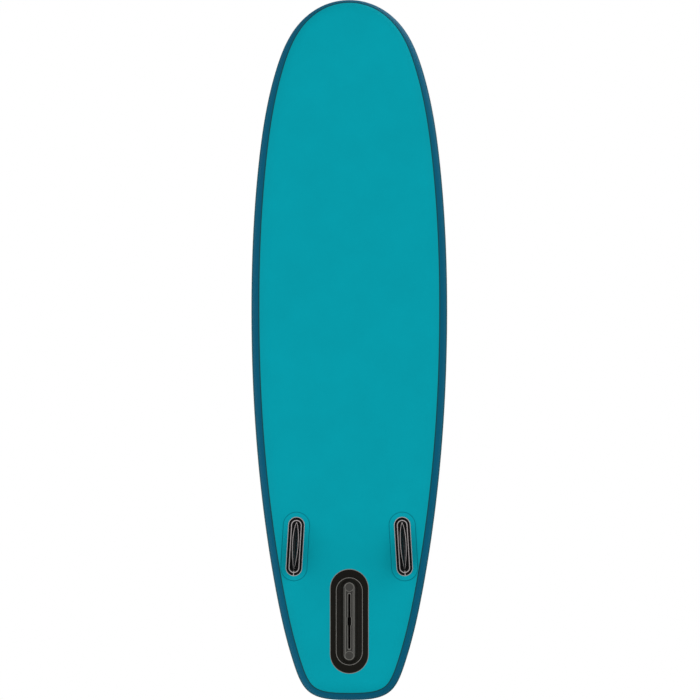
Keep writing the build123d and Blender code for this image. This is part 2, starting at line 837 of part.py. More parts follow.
# ---- bungee cord, one loop through the four bow rings, tied at the front ---------------------------
knot_centre = (hole_over["front_right"] + hole_under["front_left"]) * 0.5
knot_way = (hole_over["front_right"] - hole_under["front_left"]).normalized()
cord_route = [
    knot_centre + knot_way * (knot_length / 2),
    hole_over["front_right"],
    hole_under["front_right"],
    hole_under["rear_left"],
    hole_over["rear_left"],
    hole_under["rear_right"],
    hole_over["rear_right"],
    hole_over["front_left"],
    hole_under["front_left"],
    knot_centre - knot_way * (knot_length / 2),
]


def corner_radii(route):
    """The largest bend at each corner of a route: less than half the shorter run, or the ring's turn."""
    radii = []
    for before, corner, after in zip(route, route[1:], route[2:]):
        shorter = min((corner - before).length, (after - corner).length)
        turn = (corner - before).get_angle(after - corner)
        radii.append(min(0.49 * shorter / tan(radians(turn) / 2), 20 * cord_radius))
    return radii


with BuildPart() as bungee_cord:
    with BuildLine() as cord_line:
        FilletPolyline(*cord_route, radius=corner_radii(cord_route))
    with BuildSketch(Plane(cord_line.line @ 0, z_dir=cord_line.line % 0)):
        Circle(cord_radius)
    sweep()
finish(bungee_cord.part, "bungee_cord")

with BuildPart() as bungee_knot:
    with BuildSketch(Plane(knot_centre, z_dir=knot_way)):
        Circle(knot_radius)
    extrude(amount=knot_length / 2, both=True)
    fillet(bungee_knot.edges().filter_by(GeomType.CIRCLE), knot_radius / 2)
finish(bungee_knot.part, "bungee_knot")
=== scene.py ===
import bmesh
import bpy
import numpy as np
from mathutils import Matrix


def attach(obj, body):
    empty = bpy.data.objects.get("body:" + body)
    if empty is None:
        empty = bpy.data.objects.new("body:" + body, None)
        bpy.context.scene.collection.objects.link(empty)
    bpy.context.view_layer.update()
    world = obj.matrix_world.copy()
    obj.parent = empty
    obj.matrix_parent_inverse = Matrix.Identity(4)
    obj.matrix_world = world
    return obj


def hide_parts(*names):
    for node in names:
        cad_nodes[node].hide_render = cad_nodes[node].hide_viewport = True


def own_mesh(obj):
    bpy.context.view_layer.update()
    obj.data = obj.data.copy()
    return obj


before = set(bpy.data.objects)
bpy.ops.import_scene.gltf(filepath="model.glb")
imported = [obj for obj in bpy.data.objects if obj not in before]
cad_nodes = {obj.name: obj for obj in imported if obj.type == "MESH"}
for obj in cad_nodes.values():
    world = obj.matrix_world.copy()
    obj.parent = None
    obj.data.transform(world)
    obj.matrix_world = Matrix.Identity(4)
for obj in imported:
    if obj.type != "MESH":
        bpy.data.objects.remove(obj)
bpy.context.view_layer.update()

# ---- Studio. The board is seen square on from under its belly, nose up, over a pale floor.
# The floor's underside lets the view and the light through, and its upper side takes the shadow.
scene = bpy.context.scene
scene.view_settings.view_transform = "Standard"
view_height = 3.0
camera = bpy.data.objects.new("camera", bpy.data.cameras.new("camera"))
scene.collection.objects.link(camera)
scene.camera = camera
camera.data.type = "ORTHO"
camera.data.ortho_scale = view_height
camera.data.clip_end = 40
camera.location = (-0.003, 0.0, -6.0)
camera.rotation_euler = (0.0, np.pi, 0.0)


def soft_sun(name, place, strength, spread=70):
    """A broad, even light that comes from the direction of a place and has no edge or falloff."""
    data = bpy.data.lights.new(name, "SUN")
    data.energy = strength
    data.angle = np.radians(spread)
    lamp = bpy.data.objects.new(name, data)
    scene.collection.objects.link(lamp)
    away = np.array(place) / np.linalg.norm(place)
    side = np.cross((0.0, 1.0, 0.0), away)
    side /= np.linalg.norm(side)
    matrix = np.eye(4)
    matrix[:3, :3] = np.stack([side, np.cross(away, side), away], axis=1)
    lamp.matrix_world = [list(row) for row in matrix]
    return lamp


soft_sun("light_below_left", (1.2, 0.9, -1.1), 1.26)
soft_sun("light_below_right", (-1.2, -0.3, -1.2), 1.13)
soft_sun("light_over_front", (0.9, -1.3, 1.5), 1.6, 40)
soft_sun("light_over_back", (-1.2, 1.0, 1.3), 0.8, 60)


def add_node(tree, kind, inputs=(), **settings):
    """One shader node, with its settings, and its inputs given as numbers or as other nodes' outputs."""
    made = tree.nodes.new(kind)
    for key, value in settings.items():
        setattr(made, key, value)
    for socket, value in inputs:
        if isinstance(value, bpy.types.NodeSocket):
            tree.links.new(value, made.inputs[socket])
        else:
            made.inputs[socket].default_value = value
    return made


def maths(tree, operation, *numbers):
    """The result of one sum or comparison."""
    return add_node(tree, "ShaderNodeMath", enumerate(numbers), operation=operation).outputs[0]


def mixed_colour(tree, share, first, second):
    """The first colour where the share is 0, and the second where it is 1."""
    return add_node(tree, "ShaderNodeMix", [(0, share), (6, first), (7, second)],
                    data_type="RGBA").outputs[2]


def ranged(tree, value, low, high, to_low=0.0, to_high=1.0):
    """A value moved from the range low to high into another, and held within it."""
    return add_node(tree, "ShaderNodeMapRange", [("Value", value), ("From Min", low), ("From Max", high),
                                                 ("To Min", to_low), ("To Max", to_high)]).outputs[0]


def waves(tree, place, scale, direction, distortion=0.0, detail=2.0):
    """Even bands across a direction, from 0 to 1."""
    return add_node(tree, "ShaderNodeTexWave", [("Vector", place), ("Scale", scale),
                                                ("Distortion", distortion),
                                                ("Detail", detail)], bands_direction=direction).outputs[1]


def finished(tree, shader, colour, relief, strength, distance):
    """Links a finish's colour and its relief to its shader; distance is the relief's height in metres."""
    bump = add_node(tree, "ShaderNodeBump", [("Strength", strength), ("Distance", distance),
                                             ("Height", relief)])
    tree.links.new(colour, shader.inputs["Base Color"])
    tree.links.new(bump.outputs[0], shader.inputs["Normal"])


world = bpy.data.worlds.new("studio")
scene.world = world
world.use_nodes = True
air = world.node_tree
air.nodes.clear()
ray = add_node(air, "ShaderNodeLightPath")
seen = maths(air, "MAXIMUM", ray.outputs["Is Camera Ray"], ray.outputs["Is Transmission Ray"])
seen = maths(air, "MAXIMUM", seen, ray.outputs["Is Glossy Ray"])
ambient = add_node(air, "ShaderNodeBackground", [("Color", (1, 1, 1, 1)), ("Strength", 0.55)])
backdrop = add_node(air, "ShaderNodeBackground", [("Color", (1, 1, 1, 1)), ("Strength", 1.0)])
sky = add_node(air, "ShaderNodeMixShader", [(0, seen), (1, ambient.outputs[0]), (2, backdrop.outputs[0])])
add_node(air, "ShaderNodeOutputWorld", [(0, sky.outputs[0])])

floor_level = -0.1135
floor_reach = 14.0
floor_mesh = bpy.data.meshes.new("floor")
corners = [(-floor_reach, -floor_reach), (floor_reach, -floor_reach), (floor_reach, floor_reach),
           (-floor_reach, floor_reach)]
floor_mesh.from_pydata([(x, y, floor_level) for x, y in corners], [], [(0, 1, 2, 3)])
floor = bpy.data.objects.new("floor", floor_mesh)
scene.collection.objects.link(floor)
pale = bpy.data.materials.new("pale_floor")
pale.use_nodes = True
ground = pale.node_tree
ground.nodes.clear()
ray = add_node(ground, "ShaderNodeLightPath")
side_seen = add_node(ground, "ShaderNodeNewGeometry")
not_seen = maths(ground, "SUBTRACT", 1.0, ray.outputs["Is Camera Ray"])
open_way = maths(ground, "MAXIMUM", side_seen.outputs["Backfacing"], not_seen)
lit = add_node(ground, "ShaderNodeBsdfDiffuse", [("Color", (0.42, 0.42, 0.42, 1))])
own = add_node(ground, "ShaderNodeEmission", [("Color", (1, 1, 1, 1)), ("Strength", 0.58)])
cover = add_node(ground, "ShaderNodeAddShader", [(0, lit.outputs[0]), (1, own.outputs[0])])
clear = add_node(ground, "ShaderNodeBsdfTransparent")
mixed = add_node(ground, "ShaderNodeMixShader", [(0, open_way), (1, cover.outputs[0]),
                                                 (2, clear.outputs[0])])
add_node(ground, "ShaderNodeOutputMaterial", [(0, mixed.outputs[0])])
floor_mesh.materials.append(pale)

# ---- Air chamber. Two sheets of coated drop-stitch cloth, belly and deck, lapped round the rail and
# welded to the side walls. The plan is a smooth closed curve and the nose sweeps up on one long arc.
mm = 0.001
board_length = 3.0
board_width = 0.838
board_thickness = 0.15
nose_lift = 0.15
nose_rocker_length = 0.85
skin = 0.9 * mm
band = 0.9 * mm
rocker_radius = (nose_rocker_length**2 + nose_lift**2) / (2 * nose_lift)
rocker_start = board_length / 2 - nose_rocker_length
rail_radius = board_thickness / 2
outline_stations = np.array([
    (0.010, 0.2967), (0.0367, 0.5305), (0.100, 0.7484), (0.2333, 0.9263), (0.460, 1.0),
    (0.6833, 0.9146), (0.850, 0.7415), (0.950, 0.5632), (0.9867, 0.4253),
])


def closed_curve(points, samples):
    """A periodic cubic spline through points, by chord length, with its derivative, from its second
    derivatives."""
    n = len(points)
    after = np.roll(points, -1, axis=0)
    chord = np.linalg.norm(after - points, axis=1)
    before_chord = np.roll(chord, 1)
    slope = (after - points) / chord[:, None]
    matrix = np.zeros((n, n))
    rows = np.arange(n)
    matrix[rows, rows] = 2 * (before_chord + chord)
    matrix[rows, (rows - 1) % n] = before_chord
    matrix[rows, (rows + 1) % n] = chord
    bend = np.linalg.solve(matrix, 6 * (slope - np.roll(slope, 1, axis=0)))
    bend_after = np.roll(bend, -1, axis=0)
    t = np.linspace(0, 1, samples)[None, :, None]
    h = chord[:, None, None]
    p, q, b, c = points[:, None], after[:, None], bend[:, None], bend_after[:, None]
    place = (1 - t) * p + t * q + h**2 / 6 * (((1 - t)**3 - (1 - t)) * b + (t**3 - t) * c)
    way = (q - p) / h + h / 6 * ((1 - 3 * (1 - t)**2) * b + (3 * t**2 - 1) * c)
    return place.reshape(-1, 2), way.reshape(-1, 2)


def board_edge(count):
    """The right-hand edge from nose to tail in plan: places, ways out and ways along, closest at the
    ends."""
    right = [(0.0, board_length / 2)]
    right += [(w * board_width / 2, board_length / 2 - board_length * s) for s, w in outline_stations]
    right += [(0.0, -board_length / 2)]
    points = np.array(right + [(-x, y) for x, y in right[-2:0:-1]])
    place, way = closed_curve(points, 400)
    half = len(place) // 2
    place, way = place[:half], way[:half]
    run = np.concatenate([[0], np.cumsum(np.linalg.norm(np.diff(place, axis=0), axis=1))])
    wanted = run[-1] * (1 - np.cos(np.pi * np.arange(count + 1) / count)) / 2
    place = np.stack([np.interp(wanted, run, place[:, i]) for i in (0, 1)], axis=1)
    way = np.stack([np.interp(wanted, run, way[:, i]) for i in (0, 1)], axis=1)
    way /= np.linalg.norm(way, axis=1)[:, None]
    way[0] = (1, 0)
    way[-1] = (-1, 0)
    place[[0, -1], 0] = 0
    out = np.stack([-way[:, 1], way[:, 0]], axis=1)
    return place, out, way


def lean_at(y, height):
    """How far the board leans back at a place along it, in radians, for a layer at a height over the
    belly."""
    return np.arcsin(np.maximum(y - rocker_start, 0) / (rocker_radius - height))


def rail_frame(count):
    """Along the right rail: the rail circle's centre, the ways out and up from it, and out in plan."""
    place, out, way = board_edge(count)
    place = place - out * (rail_radius + band)
    place[[0, -1], 0] = 0
    lean = lean_at(place[:, 1], rail_radius)
    height = rocker_radius - (rocker_radius - rail_radius) * np.cos(lean)
    centre = np.stack([place[:, 0], place[:, 1], height], axis=1)
    up = np.stack([0 * lean, -np.sin(lean), np.cos(lean)], axis=1)
    forward = np.stack([way[:, 0], way[:, 1] * np.cos(lean), way[:, 1] * np.sin(lean)], axis=1)
    outward = np.cross(up, forward)
    outward /= np.linalg.norm(outward, axis=1)[:, None]
    outward *= np.sign(np.sum(outward[:, :2] * out, axis=1))[:, None]
    return centre, outward, up, out


def round_rail(centre, outward, up, radius, angle):
    """Points at angles round the rail's circle, 0 straight out and -90 degrees on the belly."""
    angle = angle[..., None]
    return centre[:, None] + radius * (np.cos(angle) * outward[:, None] + np.sin(angle) * up[:, None])


def grid_piece(name, grid, finish, line=None, uv=None, sharp=40, close=True):
    """A mesh from a grid of points, rows by columns. Points that coincide are joined, so a grid whose
    first and last rows or columns meet becomes a closed form. line is a value from 0 to 1 for each point."""
    rows, columns = grid.shape[:2]
    index = np.arange(rows * columns).reshape(rows, columns)
    quads = np.stack([index[:-1, :-1], index[1:, :-1], index[1:, 1:], index[:-1, 1:]], axis=-1)
    faces = quads.reshape(-1, 4)
    mesh = bpy.data.meshes.new(name)
    mesh.vertices.add(rows * columns)
    mesh.vertices.foreach_set("co", grid.reshape(-1).astype(np.float32))
    mesh.loops.add(faces.size)
    mesh.loops.foreach_set("vertex_index", faces.reshape(-1).astype(np.int32))
    mesh.polygons.add(len(faces))
    mesh.polygons.foreach_set("loop_start", np.arange(0, faces.size, 4, dtype=np.int32))
    mesh.update(calc_edges=True)
    if uv is not None:
        layer = mesh.uv_layers.new(name="surface")
        layer.data.foreach_set("uv", uv.reshape(-1, 2)[faces.reshape(-1)].astype(np.float32).reshape(-1))
    if line is not None:
        mark = mesh.attributes.new("line", "FLOAT", "POINT")
        mark.data.foreach_set("value", np.broadcast_to(line, (rows, columns)).reshape(-1).astype(np.float32))
    form = bmesh.new()
    form.from_mesh(mesh)
    bmesh.ops.remove_doubles(form, verts=form.verts, dist=0.00002)
    bmesh.ops.dissolve_degenerate(form, edges=form.edges, dist=0.00001)
    if close:
        bmesh.ops.recalc_face_normals(form, faces=form.faces)
    form.to_mesh(mesh)
    form.free()
    mesh.shade_smooth()
    mesh.set_sharp_from_angle(angle=np.radians(sharp))
    piece = bpy.data.objects.new(name, mesh)
    scene.collection.objects.link(piece)
    mesh.materials.append(finish)
    return piece


def fitted(piece, material_slot, *nodes):
    """The piece rides on the board and stands for these solids. material_slot is not used."""
    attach(piece, "board")
    if nodes:
        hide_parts(*nodes)


def cut_with(piece, cutter):
    """Takes the cutter's form out of the piece, and the cutter out of the scene."""
    cut = piece.modifiers.new("cut", "BOOLEAN")
    cut.object = cutter
    cut.solver = "EXACT"
    cut_mesh = bpy.data.meshes.new_from_object(piece.evaluated_get(bpy.context.evaluated_depsgraph_get()))
    piece.modifiers.clear()
    piece.data = cut_mesh
    bpy.data.objects.remove(cutter)


def linear(red, green, blue):
    """A colour given as it looks on a screen, 0 to 255, as the shader's linear values."""
    share = np.array([red, green, blue]) / 255
    value = np.where(share <= 0.04045, share / 12.92, ((share + 0.055) / 1.055)**2.4)
    return (*[float(v) for v in value], 1.0)


def new_finish(name, roughness, specular=0.5):
    """A material with its principled shader."""
    finish = bpy.data.materials.new(name)
    finish.use_nodes = True
    tree = finish.node_tree
    shader = tree.nodes["Principled BSDF"]
    shader.inputs["Roughness"].default_value = roughness
    shader.inputs["Specular IOR Level"].default_value = specular
    return finish, tree, shader


def shaded(tree, colour, place, scale, depth):
    """A colour that varies a little over the surface: depth is the share it goes lighter and darker."""
    cloud = add_node(tree, "ShaderNodeTexNoise", [("Vector", place), ("Scale", scale), ("Detail", 4.0),
                                                  ("Roughness", 0.6)])
    dark = (*[v * (1 - depth) for v in colour[:3]], 1.0)
    light = (*[v * (1 + depth) for v in colour[:3]], 1.0)
    spread = ranged(tree, cloud.outputs[0], 0.3, 0.7)
    return mixed_colour(tree, spread, dark, light)


def lined(tree, base, line_colour):
    """The base colour, turned to the line's colour where the mesh's own line mark says."""
    mark = add_node(tree, "ShaderNodeAttribute", attribute_name="line")
    return mixed_colour(tree, mark.outputs["Fac"], base, line_colour)


def coated_cloth(name, colour, line_colour, roughness=0.62):
    """Coated polyester cloth: its fine plain weave shows through the coat as crossed ribs, with a faint
    mottle."""
    finish, tree, shader = new_finish(name, roughness, 0.03)
    place = add_node(tree, "ShaderNodeTexCoord").outputs["Object"]
    base = shaded(tree, colour, place, 5.0, 0.03)
    warp = waves(tree, place, 130.0, "X", 0.4)
    weft = waves(tree, place, 130.0, "Y", 0.4)
    cross = maths(tree, "MULTIPLY", warp, weft)
    mottle = add_node(tree, "ShaderNodeTexNoise", [("Vector", place), ("Scale", 90.0), ("Detail", 3.0)])
    relief = maths(tree, "ADD", cross, mottle.outputs[0])
    finished(tree, shader, lined(tree, base, line_colour), relief, 0.12, 0.0006)
    return finish


teal = linear(1, 151, 166)
seam_teal = linear(4, 96, 112)
hull_cloth = coated_cloth("teal_coated_cloth", teal, seam_teal)

rail_rows = 220
centre, outward, up, plan_out = rail_frame(rail_rows)
lap_angle = np.radians(38)
wrap = np.linspace(lap_angle, np.pi / 2, 13)


def skin_sheet(name, side_of_deck):
    """A cloth sheet: each row runs from one rail's lap round to the flat, straight across, and round to the
    other lap, and then back along the inner face, one skin's thickness in."""
    loops = []
    angles = np.broadcast_to(side_of_deck * wrap, (len(centre), len(wrap)))
    for radius in (rail_radius, rail_radius - skin):
        right = round_rail(centre, outward, up, radius, angles)
        flat = right[:, -1:]
        share = np.linspace(1, -1, 41)[1:-1][None, :, None]
        along_and_up = np.broadcast_to(flat[..., 1:], (len(centre), 39, 2))
        across = np.concatenate([flat[..., :1] * share, along_and_up], axis=2)
        left = right[:, ::-1] * (-1, 1, 1)
        loops.append(np.concatenate([right, across, left], axis=1))
    outer, inner = loops
    return grid_piece(name, np.concatenate([outer, inner[:, ::-1], outer[:, :1]], axis=1), hull_cloth,
                      line=0)


belly_cloth = skin_sheet("belly_cloth", -1)
fitted(belly_cloth, "hull_skin", "bottom_skin")

valve_y = -1.31
deck_cloth = skin_sheet("deck_cloth", 1)
turn = np.linspace(0, 2 * np.pi, 65)
valve_hole_radius = 0.023
cutter_rings = [(0, -0.01), (valve_hole_radius, -0.01), (valve_hole_radius, 0.01), (0, 0.01)]
cutter_grid = np.stack([np.stack([r * np.cos(turn), valve_y + r * np.sin(turn),
                                  board_thickness + z + 0 * turn], axis=1)
                        for r, z in cutter_rings])
cutter = grid_piece("valve_hole_cutter", cutter_grid, hull_cloth)
cut_with(deck_cloth, cutter)
fitted(deck_cloth, "hull_skin", "deck_skin")

# ---- Rails. Each side wall is a strip of the same cloth inside the laps, and over it a broad second
# strip of blue cloth is welded on, thin at its edges, with a raised strip along the middle. A darker
# colour is painted along its edges, as painted shadow at the strip's step, and along the middle strip,
# as painted shade where the rail turns away.
rail_blue = linear(2, 86, 113)
# The darker rail colour is painted shade, on the strip's edges and along its middle.
rail_painted_shade = linear(20, 70, 78)
wall_cloth = coated_cloth("wall_coated_cloth", teal, seam_teal)
band_cloth = coated_cloth("blue_coated_cloth", rail_blue, rail_painted_shade, 0.6)
band_top_angle = np.radians(57)
fine = np.linspace(-np.pi / 2, 0, 1801)
fine_angles = np.broadcast_to(fine, (len(centre), len(fine)))
reach = round_rail(centre, outward, up, rail_radius + band, fine_angles)[..., :2]
plan_reach = np.einsum("ijk,ik->ij", reach, plan_out)
drawn_inset = np.where(plan_out[:, 1] > 0, 33.5 - 22.5 * plan_out[:, 1],
                       33.5 - 3.5 * np.abs(plan_out[:, 1])) * mm
shortfall = plan_reach.max(axis=1, keepdims=True) - plan_reach - drawn_inset[:, None]
crossing = np.argmax((shortfall < 0), axis=1)
band_low_angle = fine[crossing]
# across the strip: share of the way from its lower to its upper edge, height over the wall, line mark for
# the painted shade
band_profile = np.array([
    (0.000, 0.02, 1.0), (0.004, 0.55, 1.0), (0.012, 0.85, 1.0), (0.034, 0.92, 1.0), (0.042, 0.90, 0.0),
    (0.10, 0.90, 0.0), (0.18, 0.90, 0.0), (0.26, 0.90, 0.0), (0.322, 0.90, 0.0), (0.326, 1.25, 1.0),
    (0.334, 1.35, 1.0), (0.38, 1.38, 1.0), (0.42, 1.40, 1.0), (0.46, 1.42, 1.0), (0.50, 1.42, 1.0),
    (0.54, 1.42, 1.0), (0.58, 1.40, 1.0), (0.62, 1.38, 1.0), (0.666, 1.35, 1.0), (0.674, 1.25, 1.0),
    (0.678, 0.90, 0.0), (0.74, 0.90, 0.0), (0.82, 0.90, 0.0), (0.90, 0.90, 0.0), (0.958, 0.90, 0.0),
    (0.966, 0.92, 1.0), (0.988, 0.85, 1.0), (0.996, 0.55, 1.0), (1.000, 0.02, 1.0),
])
for side_name, side in (("right", 1), ("left", -1)):
    wall_angles = np.broadcast_to(np.linspace(-lap_angle, lap_angle, 15) * 1.2, (len(centre), 15))
    wall_outer = round_rail(centre, outward, up, rail_radius - skin * 1.05, wall_angles)
    wall_inner = round_rail(centre, outward, up, rail_radius - 2 * skin, wall_angles)
    wall = np.concatenate([wall_outer, wall_inner[:, ::-1], wall_outer[:, :1]], axis=1) * (side, 1, 1)
    side_wall = grid_piece(f"side_wall_cloth_{side_name}", wall, wall_cloth, line=0)
    fitted(side_wall, "hull_skin", f"side_wall_{side_name}")

    angles = band_low_angle[:, None] + (band_top_angle - band_low_angle[:, None]) * band_profile[None, :, 0]
    base = round_rail(centre, outward, up, rail_radius, angles)
    away = base - centre[:, None]
    away /= np.linalg.norm(away, axis=2, keepdims=True)
    outer = base + away * (band_profile[None, :, 1:2] * mm)
    under = base[:, ::-1] + away[:, ::-1] * 0.01 * mm
    strip = np.concatenate([outer, under, outer[:, :1]], axis=1) * (side, 1, 1)
    marks = np.concatenate([band_profile[:, 2], band_profile[::-1, 2] * 0 + 1, [1]])
    rail_strip = grid_piece(f"rail_strip_{side_name}", strip, band_cloth, line=marks[None, :], sharp=60)
    fitted(rail_strip, "rail_band", f"rail_band_{side_name}")

# ---- Drop-stitch threads. Polyester yarns that tie the belly to the deck all over and keep them parallel.
# They are sealed inside the air chamber, and stay at their CAD shapes.
thread_finish, tree, shader = new_finish("yarn", 0.8)
place = add_node(tree, "ShaderNodeTexCoord").outputs["Object"]
twist = waves(tree, place, 200.0, "DIAGONAL")
finished(tree, shader, shaded(tree, linear(225, 224, 216), place, 400.0, 0.1), twist, 0.4, 0.0003)


def dress(node, finish):
    """Gives a CAD node's own object a material in each of its slots."""
    own = cad_nodes[node]
    if not own.material_slots:
        own.data.materials.append(finish)
    for place_for_finish in own.material_slots:
        place_for_finish.link = "OBJECT"
        place_for_finish.material = finish


dress("drop_stitch_threads", thread_finish)

# ---- Side fins. Each is one soft black moulding: a blade on a stepped foot, glued to a round-ended
# patch of hull cloth and turned a little inwards at the front. Their edges catch the light.
teal_patch_cloth = coated_cloth("patch_coated_cloth", teal, linear(2, 104, 118))
fin_x = 232 * mm
fin_y = -842 * mm
fin_toe_in = np.radians(3.4)


def stadium(length, width, side_places, bump_out=0.0, bump_half=0.0, per_end=24):
    """A round-ended outline as (along, across): along one side, round one end, back, and round the other.
    side_places are shares of the straight part; within bump_half of the middle the side stands out to
    bump_out."""
    half, radius = (length - width) / 2, width / 2
    side = np.where(np.abs(side_places) <= 1, side_places * half,
                    np.sign(side_places) * (np.abs(side_places) - 1))
    across = np.where(np.abs(side) < bump_half, np.maximum(radius, bump_out), radius)
    angle = np.linspace(np.pi / 2, 3 * np.pi / 2, per_end)
    rear = np.stack([-half + radius * np.cos(angle), radius * np.sin(angle)], axis=1)
    far = np.stack([side, across], axis=1)
    ring = np.concatenate([far, rear, far[::-1] * (1, -1), rear[::-1] * (-1, 1)])
    return np.concatenate([ring, ring[:1]])


def stacked(rows, outline):
    """A grid of rings: each row is (length, width, height, line mark), in millimetres, and then whatever
    else its outline takes."""
    rings = []
    for length, width, height, _, *more in rows:
        ring = outline(length, width, *more)
        rings.append(np.column_stack([ring, np.full(len(ring), height)]))
    marks = np.array([row[3] for row in rows], dtype=float)
    return np.stack(rings) * mm, np.broadcast_to(marks[:, None], (len(rings), len(rings[0])))


plain_sides = np.linspace(1, -1, 25)


def round_ended(length, width):
    """A plain round-ended outline."""
    return stadium(length, width, plain_sides)


def on_belly(grid, x, y, turned=0.0):
    """Puts (along, across, depth) on the belly: along to the nose, turned about the place, depth
    downwards."""
    along, across, depth = grid[..., 0], grid[..., 1], grid[..., 2]
    return np.stack([x + along * np.sin(turned) + across * np.cos(turned),
                     y + along * np.cos(turned) - across * np.sin(turned), -depth], axis=-1)


def moulded(name, colour, line_colour, roughness=0.5, grain=0.25, grain_scale=900.0, mottle=0.12):
    """Moulded plastic: a fine eroded grain, a faint mottle, and a painted highlight in the line colour where
    the mesh marks an edge.
    """
    finish, tree, shader = new_finish(name, roughness, 0.05)
    place = add_node(tree, "ShaderNodeTexCoord").outputs["Object"]
    base = shaded(tree, colour, place, 40.0, mottle)
    cells = add_node(tree, "ShaderNodeTexNoise", [("Vector", place), ("Scale", grain_scale),
                                                  ("Detail", 2.0)])
    finished(tree, shader, lined(tree, base, line_colour), cells.outputs[0], grain, 0.0003)
    return finish


black = linear(8, 8, 9)
# The pale grey is a painted highlight on the fins' marked edges, root fillets and ribs.
edge_highlight_grey = linear(172, 166, 166)
fin_plastic = moulded("fin_black_plastic", black, edge_highlight_grey, 0.55)
patch_rows = [
    (182, 0, 0.02, 0), (297, 115, 0.02, 1), (297, 115, 0.5, 1), (296.4, 114.4, 0.85, 1),
    (294.6, 112.6, 1.0, 1), (292, 110, 1.0, 0.6), (290.5, 108.5, 1.0, 0), (270, 88, 1.0, 0),
    (182, 0, 1.0, 0),
]
# Rows whose mark is 1 take the painted highlight on the foot's rounded edges.
foot_rows = [
    (184, 0, 1.0, 1), (254, 70, 1.0, 1), (254, 70, 2.7, 1), (253.5, 69.5, 3.4, 1), (252.2, 68.2, 3.85, 1),
    (250.0, 66.0, 4.0, 1), (248.6, 64.6, 4.0, 0), (231, 49, 4.0, 0), (228.6, 46.6, 4.15, 0),
    (227.4, 45.4, 4.6, 0.4), (226.4, 44.4, 5.3, 1), (226.0, 44, 5.7, 1), (225.2, 43.2, 6.25, 1),
    (223.2, 41.2, 6.5, 1), (221.0, 39.0, 6.5, 1), (219.6, 37.6, 6.5, 0), (182, 0, 6.5, 0),
]
blade_depths = np.array([0, 0.3, 0.6, 0.85, 1.0])
blade_chords = np.array([1.0, 0.86, 0.66, 0.44, 0.24])
blade_curve = np.polyfit(blade_depths, blade_chords, 4)
fin_chord, fin_thickness, fin_depth, fin_rake = 204.0, 22.5, 105.0, 10.0
fin_tip_round, foot_height = 3.5, 6.5


def blade_grid():
    """Foil sections from the root to the tip: a small fillet at the root, then each section's chord and
    thickness shrink on one smooth curve, and the tip closes on a quarter round."""
    share = (1 - np.cos(np.linspace(0, np.pi, 49))) / 2
    bulge = 0.5 * np.maximum(np.sin(np.pi * share**0.8), 0)**0.8
    loop_share = np.concatenate([share, share[-2::-1]])
    loop_bulge = np.concatenate([bulge, -bulge[-2::-1]])
    fillet = np.array([(2.2, 0.0), (1.3, 0.3), (0.5, 1.0), (0.1, 2.0), (-0.6, 4.2)])
    tip_start = fin_depth - fin_tip_round
    tip_angle = np.linspace(0.2, np.pi / 2, 7)
    depth = np.concatenate([fillet[:, 1], np.linspace(7, tip_start, 26),
                            tip_start + fin_tip_round * np.sin(tip_angle)])
    spread = np.concatenate([fillet[:, 0], np.full(33, -0.6)])
    rounding = np.concatenate([np.ones(31), np.cos(tip_angle)])
    chord = fin_chord * np.polyval(blade_curve, depth / fin_depth) - 9 * (1 - rounding)
    rear = -fin_chord / 2 - fin_rake * (depth / fin_depth)**2 + 3 * (1 - rounding)
    along = rear[:, None] - spread[:, None] + (chord + 2 * spread)[:, None] * (1 - loop_share)
    thickness = fin_thickness * np.polyval(blade_curve, depth / fin_depth) * rounding + 2 * spread
    across = thickness[:, None] * loop_bulge
    # The root fillet is marked for the painted highlight.
    mark = np.concatenate([[1.0, 1.0, 1.0, 0.9, 0.35], np.zeros(33)])[:, None] * np.ones(along.shape)
    level = np.broadcast_to(foot_height + depth[:, None], along.shape)
    middle = np.mean(along[:1], axis=1, keepdims=True) + 0 * along[:1]
    closing = np.stack([middle, 0 * along[:1], level[:1]], axis=-1)
    grid = np.concatenate([closing, np.stack([along, across, level], axis=-1)])
    return grid * mm, np.concatenate([mark[:1], mark])


for side_name, side in (("right", 1), ("left", -1)):
    turned = -side * fin_toe_in
    grid, mark = stacked(patch_rows, round_ended)
    fin_patch = grid_piece(f"side_fin_cloth_patch_{side_name}", on_belly(grid, side * fin_x, fin_y, turned),
                           teal_patch_cloth, mark)
    grid, mark = stacked(foot_rows, round_ended)
    fin_foot = grid_piece(f"side_fin_foot_{side_name}", on_belly(grid, side * fin_x, fin_y, turned),
                          fin_plastic, mark)
    grid, mark = blade_grid()
    fin_blade = grid_piece(f"side_fin_blade_{side_name}", on_belly(grid, side * fin_x, fin_y, turned),
                           fin_plastic, mark)
    fitted(fin_patch, "fin_patch", f"side_fin_patch_{side_name}")
    for moulding in (fin_foot, fin_blade):
        fitted(moulding, "black_plastic", f"side_fin_{side_name}")


def web_grid():
    """A low rib from the blade's trailing corner down the steps of the foot to its rear edge: half an
    ellipse 3.4 mm wide that follows the foot's own profile."""
    along = np.linspace(-99, -126.2, 30)
    foot = np.interp(-along, [99, 110.6, 113.1, 114.4, 124.0, 125.6, 126.6],
                     [6.4, 6.4, 5.6, 4.1, 3.9, 3.7, 3.0])
    size_here = np.concatenate([[0], np.linspace(0.7, 1, 5), np.ones(22), [0.8, 0]])
    turn = np.linspace(0, np.pi, 13)
    across = 1.7 * size_here[:, None] * np.cos(turn)
    level = foot[:, None] - 0.3 + 1.3 * size_here[:, None] * np.sin(turn)
    grid = np.stack([np.broadcast_to(along[:, None], across.shape), across, level], axis=-1)
    return np.concatenate([grid, grid[:, :1]], axis=1) * mm


for side_name, side in (("right", 1), ("left", -1)):
    # The whole rib is marked, so it shows as a painted highlight line.
    web = grid_piece(f"side_fin_web_{side_name}", on_belly(web_grid(), side * fin_x, fin_y,
                                                           -side * fin_toe_in), fin_plastic, 1.0)
    fitted(web, "black_plastic")

